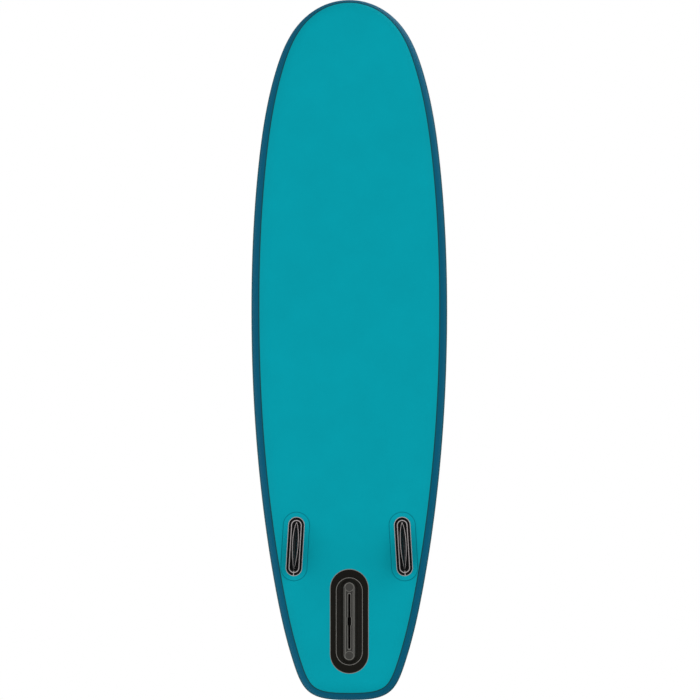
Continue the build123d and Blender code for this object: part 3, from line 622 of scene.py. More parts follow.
# ---- Centre fin box. A long grey box with a lipped slot and a wider notch to drop the fin in, held in a
# black flange whose shoulders slope up to it, on a black round-ended patch. No fin is fitted.
box_y = -1163 * mm
notch_half = 17.0
box_sides = np.concatenate([np.linspace(1, 0.30, 9), [1 + 17.3, 1 + 16.7], np.linspace(0.07, -0.07, 3),
                            [-1 - 16.7, -1 - 17.3], np.linspace(-0.30, -1, 9)])


def box_ring(length, width, notch=0.0):
    """The fin box's round-ended outline, which may stand out to a notch in its middle."""
    return stadium(length, width, box_sides, notch / 2, notch_half)


black_patch_cloth = coated_cloth("black_coated_cloth", linear(22, 21, 18), linear(128, 124, 119))
# The line colours of these mouldings are painted highlights on their rounded edges and ridges.
box_plastic = moulded("box_black_plastic", linear(22, 21, 18), linear(116, 114, 110), 0.5)
core_plastic = moulded("box_grey_plastic", linear(52, 52, 50), linear(104, 103, 99), 0.5)
slot_painted_shade = moulded("slot_painted_shade_plastic", linear(14, 14, 13), linear(60, 60, 60), 0.6)
rows = [
    (283, 0, 0.02, 1), (449, 166, 0.02, 1), (449, 166, 0.5, 1), (448.4, 165.4, 0.85, 1),
    (445.0, 162.0, 1.0, 1), (443.4, 160.4, 1.0, 0), (400, 117, 1.0, 0), (283, 0, 1.0, 0),
]
grid, mark = stacked(rows, round_ended)
box_patch = grid_piece("centre_box_cloth_patch", on_belly(grid, 0, box_y), black_patch_cloth, mark)
fitted(box_patch, "black_plastic", "centre_box_patch")

rows = [
    (334.1, 48.1, 1.0, 0), (377, 115, 1.0, 1), (377, 115, 2.0, 1), (376.4, 114.4, 2.8, 1),
    (375, 113, 3.35, 1), (372.4, 110.4, 3.5, 1), (371, 109, 3.5, 0), (368, 84, 3.5, 0),
    (363.5, 78.5, 3.7, 0), (361.5, 75.5, 4.6, 0), (356.8, 70.8, 8.0, 0), (350, 64, 13.5, 0),
    (343.6, 57.6, 18.3, 0), (342.2, 56.2, 19.1, 0), (340.6, 54.6, 19.5, 0), (338, 52, 19.5, 0),
    (334.1, 48.1, 19.5, 0), (334.1, 48.1, 10, 0), (334.1, 48.1, 1.0, 0),
]
grid, mark = stacked(rows, box_ring)
flange = grid_piece("centre_box_flange_moulding", on_belly(grid, 0, box_y), box_plastic, mark)
fitted(flange, "black_plastic", "centre_box_flange")

# each row: length, width, depth, line mark, notch width
core_rows = [
    (286, 0, 1.0, 0, 0), (333.9, 47.9, 1.0, 0, 0), (333.9, 47.9, 23.2, 0.6, 0), (333.2, 47.2, 24.1, 1, 0),
    (331.8, 45.8, 24.5, 1, 0), (330.2, 44.2, 24.5, 0.9, 0), (328.6, 42.6, 24.2, 0, 0),
    (327.0, 41.0, 23.5, 0, 0), (323.4, 37.6, 23.5, 0, 0), (322.4, 36.6, 24.1, 0.5, 0),
    (321, 35.2, 24.5, 0.9, 0), (300, 30.0, 24.5, 0.9, 0), (298, 28.6, 24.2, 0.3, 0),
    (296, 27.2, 23.5, 0, 27.2), (270, 22.4, 23.5, 0, 25.6), (248.4, 18.6, 23.6, 0, 23.6),
    (245.4, 16.9, 24.6, 0.4, 22.6), (243.6, 15.6, 25.5, 1, 21.6), (242.0, 14.4, 25.75, 1, 20.6),
    (239.2, 12.4, 25.75, 1, 18.4), (237.0, 10.9, 25.7, 0.7, 16.6), (235.6, 9.9, 25.4, 0.1, 15.4),
    (235, 9.5, 25.0, 0, 15), (235, 9.5, 18.5, 0, 15), (235, 9.5, 18.4, 0, 17), (235, 17, 18.4, 0, 17),
    (235, 17, 13.0, 0, 17), (235, 9.5, 13.0, 0, 17), (235, 9.5, 4.5, 0, 9.5), (225.5, 0, 4.5, 0, 0),
]
grid, mark = stacked(core_rows, box_ring)
core = grid_piece("centre_box_core", on_belly(grid, 0, box_y), core_plastic, mark)
fitted(core, "grey_core", "centre_box")
# Inside the slot the faces take a darker plastic: painted shade in the slot.
core.data.materials.append(slot_painted_shade)
slot_half_width, slot_half_length, slot_lip = 9 * mm, 121 * mm, 24.9 * mm
middles = np.array([polygon.center[:] for polygon in core.data.polygons])
inside = (np.abs(middles[:, 0]) < slot_half_width) & (np.abs(middles[:, 1] - box_y) < slot_half_length)
in_slot = inside & (middles[:, 2] > -slot_lip)
core.data.polygons.foreach_set("material_index", in_slot.astype(np.int32))


def grip_disc(name, y, radius, finish, pitch):
    """A round grip disc with a raised rim. Its top is knurled: two crossed sine ripples at the pitch.
    The knurl's crests and the rim are marked for a painted highlight.
    """
    distance = np.concatenate([np.linspace(0, radius - 3.4, 34),
                               [radius - 3.0, radius - 2.4, radius - 1.0, radius - 0.3, radius, radius]])
    round_way = np.linspace(0, 2 * np.pi, 129)
    x, y_here = distance[:, None] * np.cos(round_way), distance[:, None] * np.sin(round_way)
    ripple = np.sin(2 * np.pi * (x + y_here) / pitch) * np.sin(2 * np.pi * (x - y_here) / pitch)
    level = np.concatenate([np.full(34, 24.85), [24.95, 25.35, 25.45, 25.3, 24.8, 23.4]])[:, None]
    in_field = (distance < radius - 3.5)[:, None]
    height = level + 0.32 * ripple * in_field
    grid = np.stack([x, y_here, height], axis=-1)
    under = np.stack([0 * round_way, 0 * round_way, 23.4 + 0 * round_way], axis=-1)[None]
    mark = np.where(in_field, 0.12 + 0.16 * ripple, (distance > radius - 2.7)[:, None] * 1.0)
    return grid_piece(name, on_belly(np.concatenate([grid, under]) * mm, 0, y), finish,
                      np.concatenate([mark, mark[-1:]]))


grip_from_middle = 146.5 * mm
for end_name, end in (("front", 1), ("rear", -1)):
    disc = grip_disc(f"centre_box_grip_{end_name}", box_y + end * grip_from_middle, 19.6, core_plastic, 5.0)
    fitted(disc, "grey_core")

# ---- Deck pads. Three sheets of grooved EVA foam, 5 mm thick, glued to the deck with small gaps between
# them. A diamond pattern of shallow grooves is pressed into each, and a plain margin runs round its edge.
deck = board_thickness
pad_thickness = 5.0
groove_depth, groove_width = 1.3, 8.5
diamond_across, diamond_along = 44.0, 66.0
steep = np.hypot(1 / diamond_across, 1 / diamond_along)
pad_margin = 13.0


def foam(name, colour, line_colour):
    """Closed-cell EVA foam, soft and dull, with tiny open cells. Where the surface map's second number, the
    distance in from the pad's edge, is past the margin, the grooves' two sets of slanting lines are painted
    darker, and so is the groove at the margin: painted shade in the grooves. The mesh's own line mark
    paints the same shade on the low bands between the kick pad's ribs."""
    finish, tree, shader = new_finish(name, 0.9, 0.12)
    place = add_node(tree, "ShaderNodeTexCoord").outputs["Object"]
    line = add_node(tree, "ShaderNodeAttribute", attribute_name="line").outputs["Fac"]
    surface = add_node(tree, "ShaderNodeUVMap", uv_map="surface").outputs[0]
    edge = add_node(tree, "ShaderNodeSeparateXYZ", [(0, surface)]).outputs[1]
    in_field = ranged(tree, edge, (pad_margin - 0.4) * mm, (pad_margin + 0.4) * mm)
    off_margin = maths(tree, "SUBTRACT", edge, (pad_margin - 1) * mm)
    off_margin = maths(tree, "ABSOLUTE", off_margin)
    found = [(off_margin, 0.6 * mm, 1.9 * mm)]
    for slant in (1, -1):
        slanting = (1000 / diamond_across, slant * 1000 / diamond_along, 0)
        phase = add_node(tree, "ShaderNodeVectorMath", [(0, place), (1, slanting)], operation="DOT_PRODUCT")
        off_line = maths(tree, "PINGPONG", phase.outputs["Value"], 0.5)
        found.append((off_line, 0.6 * steep, 2.4 * steep))
    for number, (distance, near, far) in enumerate(found):
        dark = ranged(tree, distance, near, far, 0.9, 0.0)
        if number:
            dark = maths(tree, "MULTIPLY", dark, in_field)
        line = maths(tree, "MAXIMUM", line, dark)
    base = shaded(tree, colour, place, 14.0, 0.08)
    base = mixed_colour(tree, line, base, line_colour)
    speck = add_node(tree, "ShaderNodeTexNoise", [("Vector", place), ("Scale", 700.0), ("Detail", 2.0)])
    tone = ranged(tree, speck.outputs[0], 0.35, 0.65, 0.86, 1.12)
    toned = add_node(tree, "ShaderNodeVectorMath", [(0, base), ("Scale", tone)], operation="SCALE")
    cells = add_node(tree, "ShaderNodeTexVoronoi", [("Vector", place), ("Scale", 1100.0)])
    finished(tree, shader, toned.outputs[0], cells.outputs[0], 0.35, 0.0004)
    shader.inputs["Sheen Weight"].default_value = 0.15
    return finish


# The second colour is painted shade, for the grooves and the kick pad's low bands.
pad_foam = foam("grey_foam", linear(92, 100, 108), linear(52, 58, 64))
edge_place, edge_out, _ = board_edge(600)
pad_from_edge = 0.094
pad_edge = edge_place - edge_out * pad_from_edge


def pad_half_width(y):
    """Half the pad's width at a place along the board: the board's edge moved in by the pad's margin."""
    order = np.argsort(pad_edge[:, 1])
    return np.interp(y, pad_edge[order, 1], pad_edge[order, 0])


def groove_at(x, y):
    """1 in the middle of a groove and 0 on the diamonds: two families of slanting lines, in millimetres."""
    depth = 0
    for slant in (1, -1):
        phase = x / diamond_across + slant * y / diamond_along
        off_line = np.abs(phase - np.round(phase)) / steep
        depth = np.maximum(depth, np.clip(1 - off_line / (groove_width / 2), 0, 1))
    return depth * depth * (3 - 2 * depth)


def pad_sheet(name, node, rear, front, front_radius=None, step=3.0):
    """A foam sheet from its rear line to its front line, which may be an arc across the board. Its top is
    the sheet's height less the grooves, and rounds over at every edge; a flat face closes it below."""
    rounding = np.array([0.0, 0.0, 0.5, 1.4, 2.6])
    edge_height = np.array([0.0, 0.72, 0.9, 0.98, 1.0])
    half = pad_half_width((rear + front) / 2)
    spans = int((front - rear) / (step * mm)), int(2 * half / (step * mm))
    shares, heights = [], []
    for span, length in zip(spans, ((front - rear) / mm, 2 * half / mm)):
        inner = np.linspace(rounding[-1] / length, 1 - rounding[-1] / length, span)[1:-1]
        shares.append(np.concatenate([rounding / length, inner, 1 - rounding[::-1] / length]))
        heights.append(np.concatenate([edge_height, np.ones(len(inner)), edge_height[::-1]]))
    t, u = shares[0][:, None], shares[1][None, :] * 2 - 1
    x = u * half + 0 * t
    for _ in range(6):
        if front_radius is None:
            front_line = front + 0 * x
        else:
            front_line = front - front_radius + np.sqrt(front_radius**2 - x**2)
        y = rear + t * (front_line - rear)
        x = u * pad_half_width(y)
    from_edge = np.minimum(np.minimum(y - rear, front_line - y), (1 - np.abs(u)) * pad_half_width(y)) / mm
    field = np.clip((from_edge - pad_margin + 2) / 4, 0, 1)
    groove = groove_at(x / mm, y / mm) * field
    border = np.clip(1 - np.abs(from_edge - pad_margin + 1) / 2.2, 0, 1)
    rounded = np.minimum(heights[0][:, None], heights[1][None, :])
    height = pad_thickness * rounded - groove_depth * np.maximum(groove, border)
    grid = np.stack([x, y, deck + height * mm], axis=-1)
    uv = np.stack([x, np.clip(from_edge, 0, 40) * mm], axis=-1)
    piece = grid_piece(name, grid, pad_foam, 0, uv=uv, sharp=70, close=False)
    form = bmesh.new()
    form.from_mesh(piece.data)
    bmesh.ops.holes_fill(form, edges=form.edges)
    bmesh.ops.recalc_face_normals(form, faces=form.faces)
    form.to_mesh(piece.data)
    form.free()
    fitted(piece, "foam_pad", node)
    return piece


pad_front = pad_sheet("deck_pad_foam_front", "deck_pad_front", 265 * mm, 430 * mm, 520 * mm)
pad_middle = pad_sheet("deck_pad_foam_middle", "deck_pad_middle", -259 * mm, 259 * mm)
pad_rear = pad_sheet("deck_pad_foam_rear", "deck_pad_rear", -1204 * mm, -265 * mm)
well, _ = stacked([(290, 0, -20, 0), (400, 110, -20, 0), (400, 110, 20, 0), (290, 0, 20, 0)], round_ended)
well = np.stack([well[..., 1], well[..., 0], deck - well[..., 2]], axis=-1)
cut_with(pad_middle, grid_piece("handle_well_cutter", well, pad_foam))

# ---- Kick pad. A low wedge of the same foam across the tail pad, for the back foot. Its front is steeper
# than its rear, its ends round off, and ribs run across it.
kick_y = -1142 * mm
kick_half = 184


def kick_grid():
    """Across the board by round the wedge: a skewed half sine, less a rib pattern, that closes at both
    ends."""
    across = np.concatenate([np.sin(np.linspace(-np.pi / 2, -0.62, 14)) * 0.12 - 0.88,
                             np.linspace(-0.94, 0.94, 61)[1:-1],
                             0.88 - np.sin(np.linspace(-0.62, -np.pi / 2, 14)) * 0.12])
    fall = np.sqrt(np.clip(1 - np.clip((np.abs(across) - 0.88) / 0.12, 0, 1)**2, 0, 1))
    share = np.linspace(0, 1, 57)
    rise = np.sin(np.pi * share**1.35)**0.85
    rib = 0.55 * np.clip(np.cos(2 * np.pi * share * 9), 0, 1) * (rise > 0.25)
    top = (20.6 * rise)[None, :] * fall[:, None]**0.7 - rib[None, :] * fall[:, None]
    y = (-28 + 56 * share)[None, :] * (0.35 + 0.65 * fall[:, None])
    x = np.broadcast_to(across[:, None] * kick_half, top.shape)
    upper = np.stack([x, y, 4.6 + np.maximum(top, 0)], axis=-1)
    lower = np.stack([x, y, 4.6 + 0 * top], axis=-1)
    # The low bands between the ribs are marked for painted shade.
    mark = 0.9 * np.clip(rib / 0.55, 0, 1)[None, :] * np.ones(top.shape)
    grid = np.concatenate([upper, lower[:, ::-1][:, 1:]], axis=1)
    return grid, np.concatenate([mark, 0 * mark[:, 1:]], axis=1)


kick_points, kick_mark = kick_grid()
kick = grid_piece("kick_pad_foam", kick_points * mm + (0, kick_y, deck), pad_foam, kick_mark, sharp=60)
fitted(kick, "foam_pad", "kick_pad")

# ---- Carry handle. A webbing strap, sewn at each end to a square patch on the deck, rises through the
# well in the pad. A foam grip with a cloth cover and bound ends is sewn round its middle.
strap_width, strap_thickness, grip_rise = 38 * mm, 2.5 * mm, 42 * mm
strap_foot, strap_climb, deck_patch_thickness = 122 * mm, 46 * mm, 1.0 * mm


def webbing(name, colour, thread_colour, rib=0.0016):
    """Woven webbing: diagonal twill ribs that follow the strap's own length and width, on a dull yarn. The
    raised yarns are painted lighter, as a painted highlight on the weave.
    """
    finish, tree, shader = new_finish(name, 0.8, 0.15)
    along = add_node(tree, "ShaderNodeUVMap", uv_map="surface").outputs[0]
    scaled = add_node(tree, "ShaderNodeMapping", [("Vector", along), ("Scale", (1 / rib, 1 / rib, 1))])
    twill = waves(tree, scaled.outputs[0], 0.314, "DIAGONAL", 0.6, 1.0)
    chevron = waves(tree, scaled.outputs[0], 0.157, "Y")
    yarn = maths(tree, "MULTIPLY", twill, chevron)
    # The raised yarns' lighter colour is a painted highlight.
    light = (*[min(v * 2.6 + 0.006, 1) for v in colour[:3]], 1.0)
    body = mixed_colour(tree, yarn, colour, light)
    finished(tree, shader, lined(tree, body, thread_colour), yarn, 0.6, 0.0004)
    shader.inputs["Sheen Weight"].default_value = 0.2
    return finish


black_webbing = webbing("black_webbing", linear(24, 25, 28), linear(120, 124, 128))


def strap_sweep(name, path, across, width, thickness, finish, corner=0.35):
    """A flat strap carried along a path: its section is a rounded rectangle, width along across and
    thickness along the path's own normal. The surface map runs along the path and round the section."""
    way = np.gradient(path, axis=0)
    way /= np.linalg.norm(way, axis=1)[:, None]
    across = np.broadcast_to(across, path.shape)
    normal = np.cross(way, across)
    normal /= np.linalg.norm(normal, axis=1)[:, None]
    angle = np.linspace(0, 2 * np.pi, 33)
    side = np.sign(np.cos(angle)) * np.abs(np.cos(angle))**corner * width / 2
    face = np.sign(np.sin(angle)) * np.abs(np.sin(angle))**corner * thickness / 2
    body = path[:, None] + side[None, :, None] * across[:, None] + face[None, :, None] * normal[:, None]
    grid = np.concatenate([np.broadcast_to(path[:1, None], body[:1].shape), body,
                           np.broadcast_to(path[-1:, None], body[:1].shape)])
    run = np.concatenate([[0], np.cumsum(np.linalg.norm(np.diff(path, axis=0), axis=1))])
    run = np.concatenate([run[:1], run, run[-1:]])
    round_run = np.concatenate([[0], np.cumsum(np.hypot(np.diff(side), np.diff(face)))])
    uv = np.stack(np.broadcast_arrays(run[:, None], round_run[None, :]), axis=-1)
    return grid_piece(name, grid, finish, line=0, uv=uv)


def eased(share):
    """From 0 to 1 on half a cosine wave."""
    return (1 - np.cos(np.pi * np.clip(share, 0, 1))) / 2


def stitches(name, lines, normal, finish, pitch=4.2, length=3.0, thick=0.55):
    """Rows of small thread bumps along straight lines: each is a low-sided ellipsoid half sunk in the
    cloth."""
    places, ways = [], []
    for start, end in lines:
        start, end = np.array(start, dtype=float), np.array(end, dtype=float)
        count = max(int(np.linalg.norm(end - start) / (pitch * mm)), 1)
        share = (np.arange(count) + 0.5) / count
        places.append(start + share[:, None] * (end - start))
        ways.append(np.broadcast_to((end - start) / np.linalg.norm(end - start), (count, 3)))
    places, ways = np.concatenate(places), np.concatenate(ways)
    normal = np.broadcast_to(np.array(normal, dtype=float), places.shape)
    side = np.cross(normal, ways)
    polar, turn_round = np.meshgrid(np.linspace(0, np.pi, 5), np.linspace(0, 2 * np.pi, 7)[:-1],
                                    indexing="ij")
    ball = np.stack([np.cos(polar) * length / 2, np.sin(polar) * np.cos(turn_round) * thick,
                     np.sin(polar) * np.sin(turn_round) * thick], axis=-1) * mm
    frame_of = np.stack([ways, side, normal], axis=1)
    points = places[:, None, None] + np.einsum("ijk,nkl->nijl", ball, frame_of)
    rows_here, columns_here = polar.shape
    index = np.arange(rows_here * columns_here).reshape(rows_here, columns_here)
    shifted = np.roll(index, -1, axis=1)
    quads = np.stack([index[:-1], index[1:], shifted[1:], shifted[:-1]], axis=-1).reshape(-1, 4)
    faces = (quads[None] + (np.arange(len(places)) * rows_here * columns_here)[:, None, None]).reshape(-1, 4)
    mesh = bpy.data.meshes.new(name)
    mesh.from_pydata(points.reshape(-1, 3).tolist(), [], faces.tolist())
    form = bmesh.new()
    form.from_mesh(mesh)
    bmesh.ops.remove_doubles(form, verts=form.verts, dist=0.00002)
    bmesh.ops.recalc_face_normals(form, faces=form.faces)
    form.to_mesh(mesh)
    form.free()
    mesh.shade_smooth()
    piece = bpy.data.objects.new(name, mesh)
    scene.collection.objects.link(piece)
    mesh.materials.append(finish)
    return piece


def thread(name, colour):
    """Sewing thread: a glossy twisted yarn, with its twist as a fine slanting ripple."""
    finish, tree, shader = new_finish(name, 0.55, 0.3)
    place = add_node(tree, "ShaderNodeTexCoord").outputs["Object"]
    twist = waves(tree, place, 900.0, "DIAGONAL")
    finished(tree, shader, shaded(tree, colour, place, 300.0, 0.12), twist, 0.5, 0.0002)
    return finish


grey_thread = thread("grey_thread", linear(150, 154, 158))
strap_y = np.linspace(-0.178, 0.178, 161)
rise = eased((strap_foot - np.abs(strap_y)) / strap_climb)
strap_level = deck + deck_patch_thickness + strap_thickness / 2 + grip_rise * rise
strap_path = np.stack([0 * strap_y, strap_y, strap_level], axis=1)
strap = strap_sweep("carry_strap", strap_path, (1, 0, 0), strap_width, strap_thickness, black_webbing,
                    corner=0.25)
fitted(strap, "webbing", "handle_strap")

deck_patch_cloth = coated_cloth("deck_patch_coated_cloth", teal, linear(2, 110, 124))


def rounded_square(length, width):
    """A square with soft corners, as a superellipse of the sixth power."""
    angle = np.linspace(0, 2 * np.pi, 97)
    return np.stack([np.sign(np.cos(angle)) * np.abs(np.cos(angle))**(1 / 3) * length / 2,
                     np.sign(np.sin(angle)) * np.abs(np.sin(angle))**(1 / 3) * width / 2], axis=1)


handle_patch_side, handle_patch_from_middle, ring_patch_width = 84, 146 * mm, 70
sheet_rows = [
    (0, 0, 0.0, 1), (1, 1, 0.0, 1), (1, 1, 0.5, 1), (0.992, 0.992, 0.9, 1), (0.972, 0.972, 1.0, 0.7),
    (0.95, 0.95, 1.0, 0), (0, 0, 1.0, 0),
]


def thin_patch(side, outline):
    """A glued patch of a size: flat below, and its top rounds over at the edge."""
    rows = [(side * a, side * b, height, mark) for a, b, height, mark in sheet_rows]
    return stacked(rows, outline)


for end_name, end in (("front", 1), ("rear", -1)):
    grid, mark = thin_patch(handle_patch_side, rounded_square)
    patch_middle = end * handle_patch_from_middle
    sewn_patch = grid_piece(f"handle_cloth_patch_{end_name}", grid + (0, patch_middle, deck),
                            deck_patch_cloth, mark)
    fitted(sewn_patch, "fin_patch", f"handle_patch_{end_name}")
    top = deck + deck_patch_thickness + strap_thickness + 0.05 * mm
    near, far, wide = end * 130 * mm, end * 172 * mm, 15 * mm
    box_x = [((-wide, near, top), (wide, near, top)), ((-wide, far, top), (wide, far, top)),
             ((-wide, near, top), (-wide, far, top)), ((wide, near, top), (wide, far, top)),
             ((-wide, near, top), (wide, far, top)), ((wide, near, top), (-wide, far, top))]
    sewing = stitches(f"handle_stitching_{end_name}", box_x, (0, 0, 1), grey_thread)
    fitted(sewing, "webbing")

grip_cloth = webbing("grip_cover_cloth", linear(34, 36, 40), linear(16, 17, 19), rib=0.0011)
grip_level = deck + deck_patch_thickness + strap_thickness / 2 + grip_rise


def grip_grid():
    """Sections along the strap: a superellipse 48 by 22 mm, crowned a little in its middle and drawn in at
    the bound ends, where it closes on the strap."""
    along = np.concatenate([[-61.5, -61.8, -62, -61.4, -60], np.linspace(-59, -51, 6), [-50.2, -49.6],
                            np.linspace(-48, 48, 41),
                            [49.6, 50.2], np.linspace(51, 59, 6), [60, 61.4, 62, 61.8, 61.5]])
    size_here = np.concatenate([[0.12, 0.5, 0.78, 0.88, 0.92], np.full(6, 0.935), [0.93, 0.885],
                                0.9 + 0.1 * (1 - (np.linspace(-48, 48, 41) / 52)**4), [0.885, 0.93],
                                np.full(6, 0.935), [0.92, 0.88, 0.78, 0.5, 0.12]])
    angle = np.linspace(0, 2 * np.pi, 65)
    pinch = 1 - 0.05 * np.exp(-((angle - 1.5 * np.pi) / 0.09)**2)
    across = np.sign(np.cos(angle)) * np.abs(np.cos(angle))**0.72 * 24
    up_here = np.sign(np.sin(angle)) * np.abs(np.sin(angle))**0.8 * 11
    x = np.maximum(size_here, 0.45)[:, None] * (across * pinch)[None, :]
    z = size_here[:, None] * (up_here * pinch)[None, :]
    y = np.broadcast_to(along[:, None], x.shape)
    bound = ((np.abs(along) > 49.9) & (np.abs(along) < 61.6))[:, None] * 1.0
    seam = (np.abs(angle - 1.5 * np.pi) < 0.06)[None, :] * 1.0
    round_run = np.concatenate([[0], np.cumsum(np.hypot(np.diff(across), np.diff(up_here)))])
    uv = np.stack(np.broadcast_arrays(along[:, None], round_run[None, :]), axis=-1) * mm
    return np.stack([x, y, z], axis=-1) * mm + (0, 0, grip_level), np.maximum(bound, seam), uv


grip_points, grip_mark, grip_uv = grip_grid()
grip = grid_piece("handle_grip_cover", grip_points, grip_cloth, grip_mark, uv=grip_uv)
fitted(grip, "black_plastic", "handle_grip")

# ---- Valve and cap. Grey moulded plastic with rubber seals, at its CAD shapes. The spring comes last,
# because it is drawn as a tube.
valve_plastic = moulded("valve_grey_plastic", linear(120, 125, 130), linear(150, 154, 158), 0.42, 0.15)
nut_plastic = moulded("valve_dark_plastic", linear(46, 48, 52), linear(80, 80, 80), 0.5)
rubber = moulded("black_rubber", linear(20, 20, 21), linear(50, 50, 50), 0.8, 0.1, 500.0, 0.2)


def steel(name, tint):
    """Polished stainless steel: a near-white metal with faint drawn streaks and a few dull patches."""
    finish, tree, shader = new_finish(name, 0.22, 0.5)
    shader.inputs["Metallic"].default_value = 1.0
    place = add_node(tree, "ShaderNodeTexCoord").outputs["Object"]
    haze = add_node(tree, "ShaderNodeTexNoise", [("Vector", place), ("Scale", 240.0), ("Detail", 3.0)])
    dull = ranged(tree, haze.outputs[0], 0.3, 0.7, 0.16, 0.34)
    tree.links.new(dull, shader.inputs["Roughness"])
    finished(tree, shader, shaded(tree, tint, place, 60.0, 0.06), haze.outputs[0], 0.1, 0.0001)
    return finish


stainless = steel("stainless_steel", linear(158, 157, 154))
for node in ("valve_body", "valve_cap", "tether_collar"):
    dress(node, valve_plastic)
for node in ("valve_nut", "valve_plunger"):
    dress(node, nut_plastic)
for node in ("valve_gasket", "valve_diaphragm", "cap_seal", "cap_tether"):
    dress(node, rubber)

# ---- Rings. Each is a steel wire ring at its CAD shape, held by a sewn webbing loop on a round cloth
# patch that is glued to the deck. One is for the leash, one for towing, and four carry the bungee.
ring_bar_height = 4.55
loop_width, loop_thickness = 20 * mm, 1.4 * mm
seam_half_width, seam_height, seam_places = 7.8, 2.5, (-18.4, -7.6, 7.6, 18.4)


def deck_height(y, height):
    """The height of a layer that lies so far above the deck, which bends up towards the nose."""
    radius = rocker_radius - deck - height
    return rocker_radius - np.sqrt(radius**2 - np.maximum(y - rocker_start, 0)**2)


def deck_frame(x, y, heading):
    """The deck's own place and directions there: origin, across, along and up, turned by the heading."""
    lean = lean_at(y, deck)
    across, along = np.array([1.0, 0, 0]), np.array([0, np.cos(lean), np.sin(lean)])
    turned_across = across * np.cos(heading) + along * np.sin(heading)
    turned_along = along * np.cos(heading) - across * np.sin(heading)
    return np.array([x, y, deck_height(y, 0)]), turned_across, turned_along, np.cross(across, along)


def round_outline(length, width):
    """An ellipse, from its length and width."""
    angle = np.linspace(0, 2 * np.pi, 97)
    return np.stack([np.cos(angle) * length / 2, np.sin(angle) * width / 2], axis=1)


def loop_line():
    """Along the strap's middle, as (along, up) in millimetres: flat, up a fillet, round the bar, and
    down."""
    bar, clear, fillet, flat = ring_bar_height, 2.8, 2.2, 1.75
    corner = np.linspace(0, np.pi / 2, 9)
    rise = np.stack([-clear - fillet + fillet * np.sin(corner), flat + fillet - fillet * np.cos(corner)],
                    axis=1)
    over = np.linspace(np.pi, np.pi / 2, 13)
    bend = np.stack([clear * np.cos(over), bar + clear * np.sin(over)], axis=1)
    half = np.concatenate([np.stack([np.linspace(-20.8, -5.4, 12), np.full(12, flat)], axis=1), rise, bend])
    return np.concatenate([half, half[-2::-1] * (-1, 1)])


bow_places = {"front_left": (-0.12, 0.94), "front_right": (0.12, 0.94), "rear_right": (0.15, 0.64),
              "rear_left": (-0.15, 0.64)}
bow_partners = {"front_left": ("rear_right", "front_right"), "front_right": ("rear_left", "front_left"),
                "rear_right": ("front_left", "rear_left"), "rear_left": ("front_right", "rear_right")}
rings = {"leash_ring": (0.0, -1.388, 0.0), "tow_ring": (0.0, 1.37, 0.0)}
for corner, partners in bow_partners.items():
    here = np.array(bow_places[corner])
    ways = [np.array(bow_places[partner]) - here for partner in partners]
    pull = sum(way / np.linalg.norm(way) for way in ways)
    rings[f"bow_ring_{corner}"] = (*bow_places[corner], np.arctan2(pull[1], pull[0]) + np.pi / 2)

for ring_name, (x, y, heading) in rings.items():
    origin, across, along, up = deck_frame(x, y, heading)
    grid, mark = thin_patch(ring_patch_width, round_outline)
    grid = np.stack([grid[..., 0] + x, grid[..., 1] + y, deck_height(grid[..., 1] + y, grid[..., 2])],
                    axis=-1)
    ring_patch = grid_piece(f"{ring_name}_cloth_patch", grid, deck_patch_cloth, mark)
    fitted(ring_patch, "fin_patch", f"{ring_name}_patch")
    line = loop_line() * mm
    path = origin + line[:, :1] * along + line[:, 1:] * up
    sewn_loop = strap_sweep(f"{ring_name}_webbing", path, across, loop_width, loop_thickness, black_webbing,
                            corner=0.25)
    fitted(sewn_loop, "webbing", f"{ring_name}_loop")
    corners = [[origin + (i * seam_half_width * across + j * along + seam_height * up) * mm for i in (-1, 1)]
               for j in seam_places]
    lines = [(pair[0], pair[1]) for pair in corners]
    lines += [(corners[j][i], corners[j + 1][i]) for j in (0, 2) for i in (0, 1)]
    ring_sewing = stitches(f"{ring_name}_stitching", lines, up, grey_thread, pitch=3.4, length=2.5,
                           thick=0.4)
    fitted(ring_sewing, "webbing")
    dress(ring_name, stainless)

# ---- Bungee cord. One elastic cord, braided over, runs over and under each bow ring and crosses itself
# once, and its ends meet in a wrapped knot in front. It holds a dry bag down on the bow.
cord_diameter = 6 * mm


def smooth_route(name, points):
    """Points along the NURBS curve whose control points these are."""
    curve = bpy.data.curves.new(name, "CURVE")
    curve.dimensions = "3D"
    curve.resolution_u = 12
    spline = curve.splines.new("NURBS")
    spline.points.add(len(points) - 1)
    for control, point in zip(spline.points, points):
        control.co = (*point, 1.0)
    spline.order_u = 3
    spline.use_endpoint_u = True
    carrier = bpy.data.objects.new(name, curve)
    scene.collection.objects.link(carrier)
    line = bpy.data.meshes.new_from_object(carrier.evaluated_get(bpy.context.evaluated_depsgraph_get()))
    read = np.empty(len(line.vertices) * 3, dtype=np.float32)
    line.vertices.foreach_get("co", read)
    bpy.data.objects.remove(carrier)
    return read.reshape(-1, 3).astype(float)


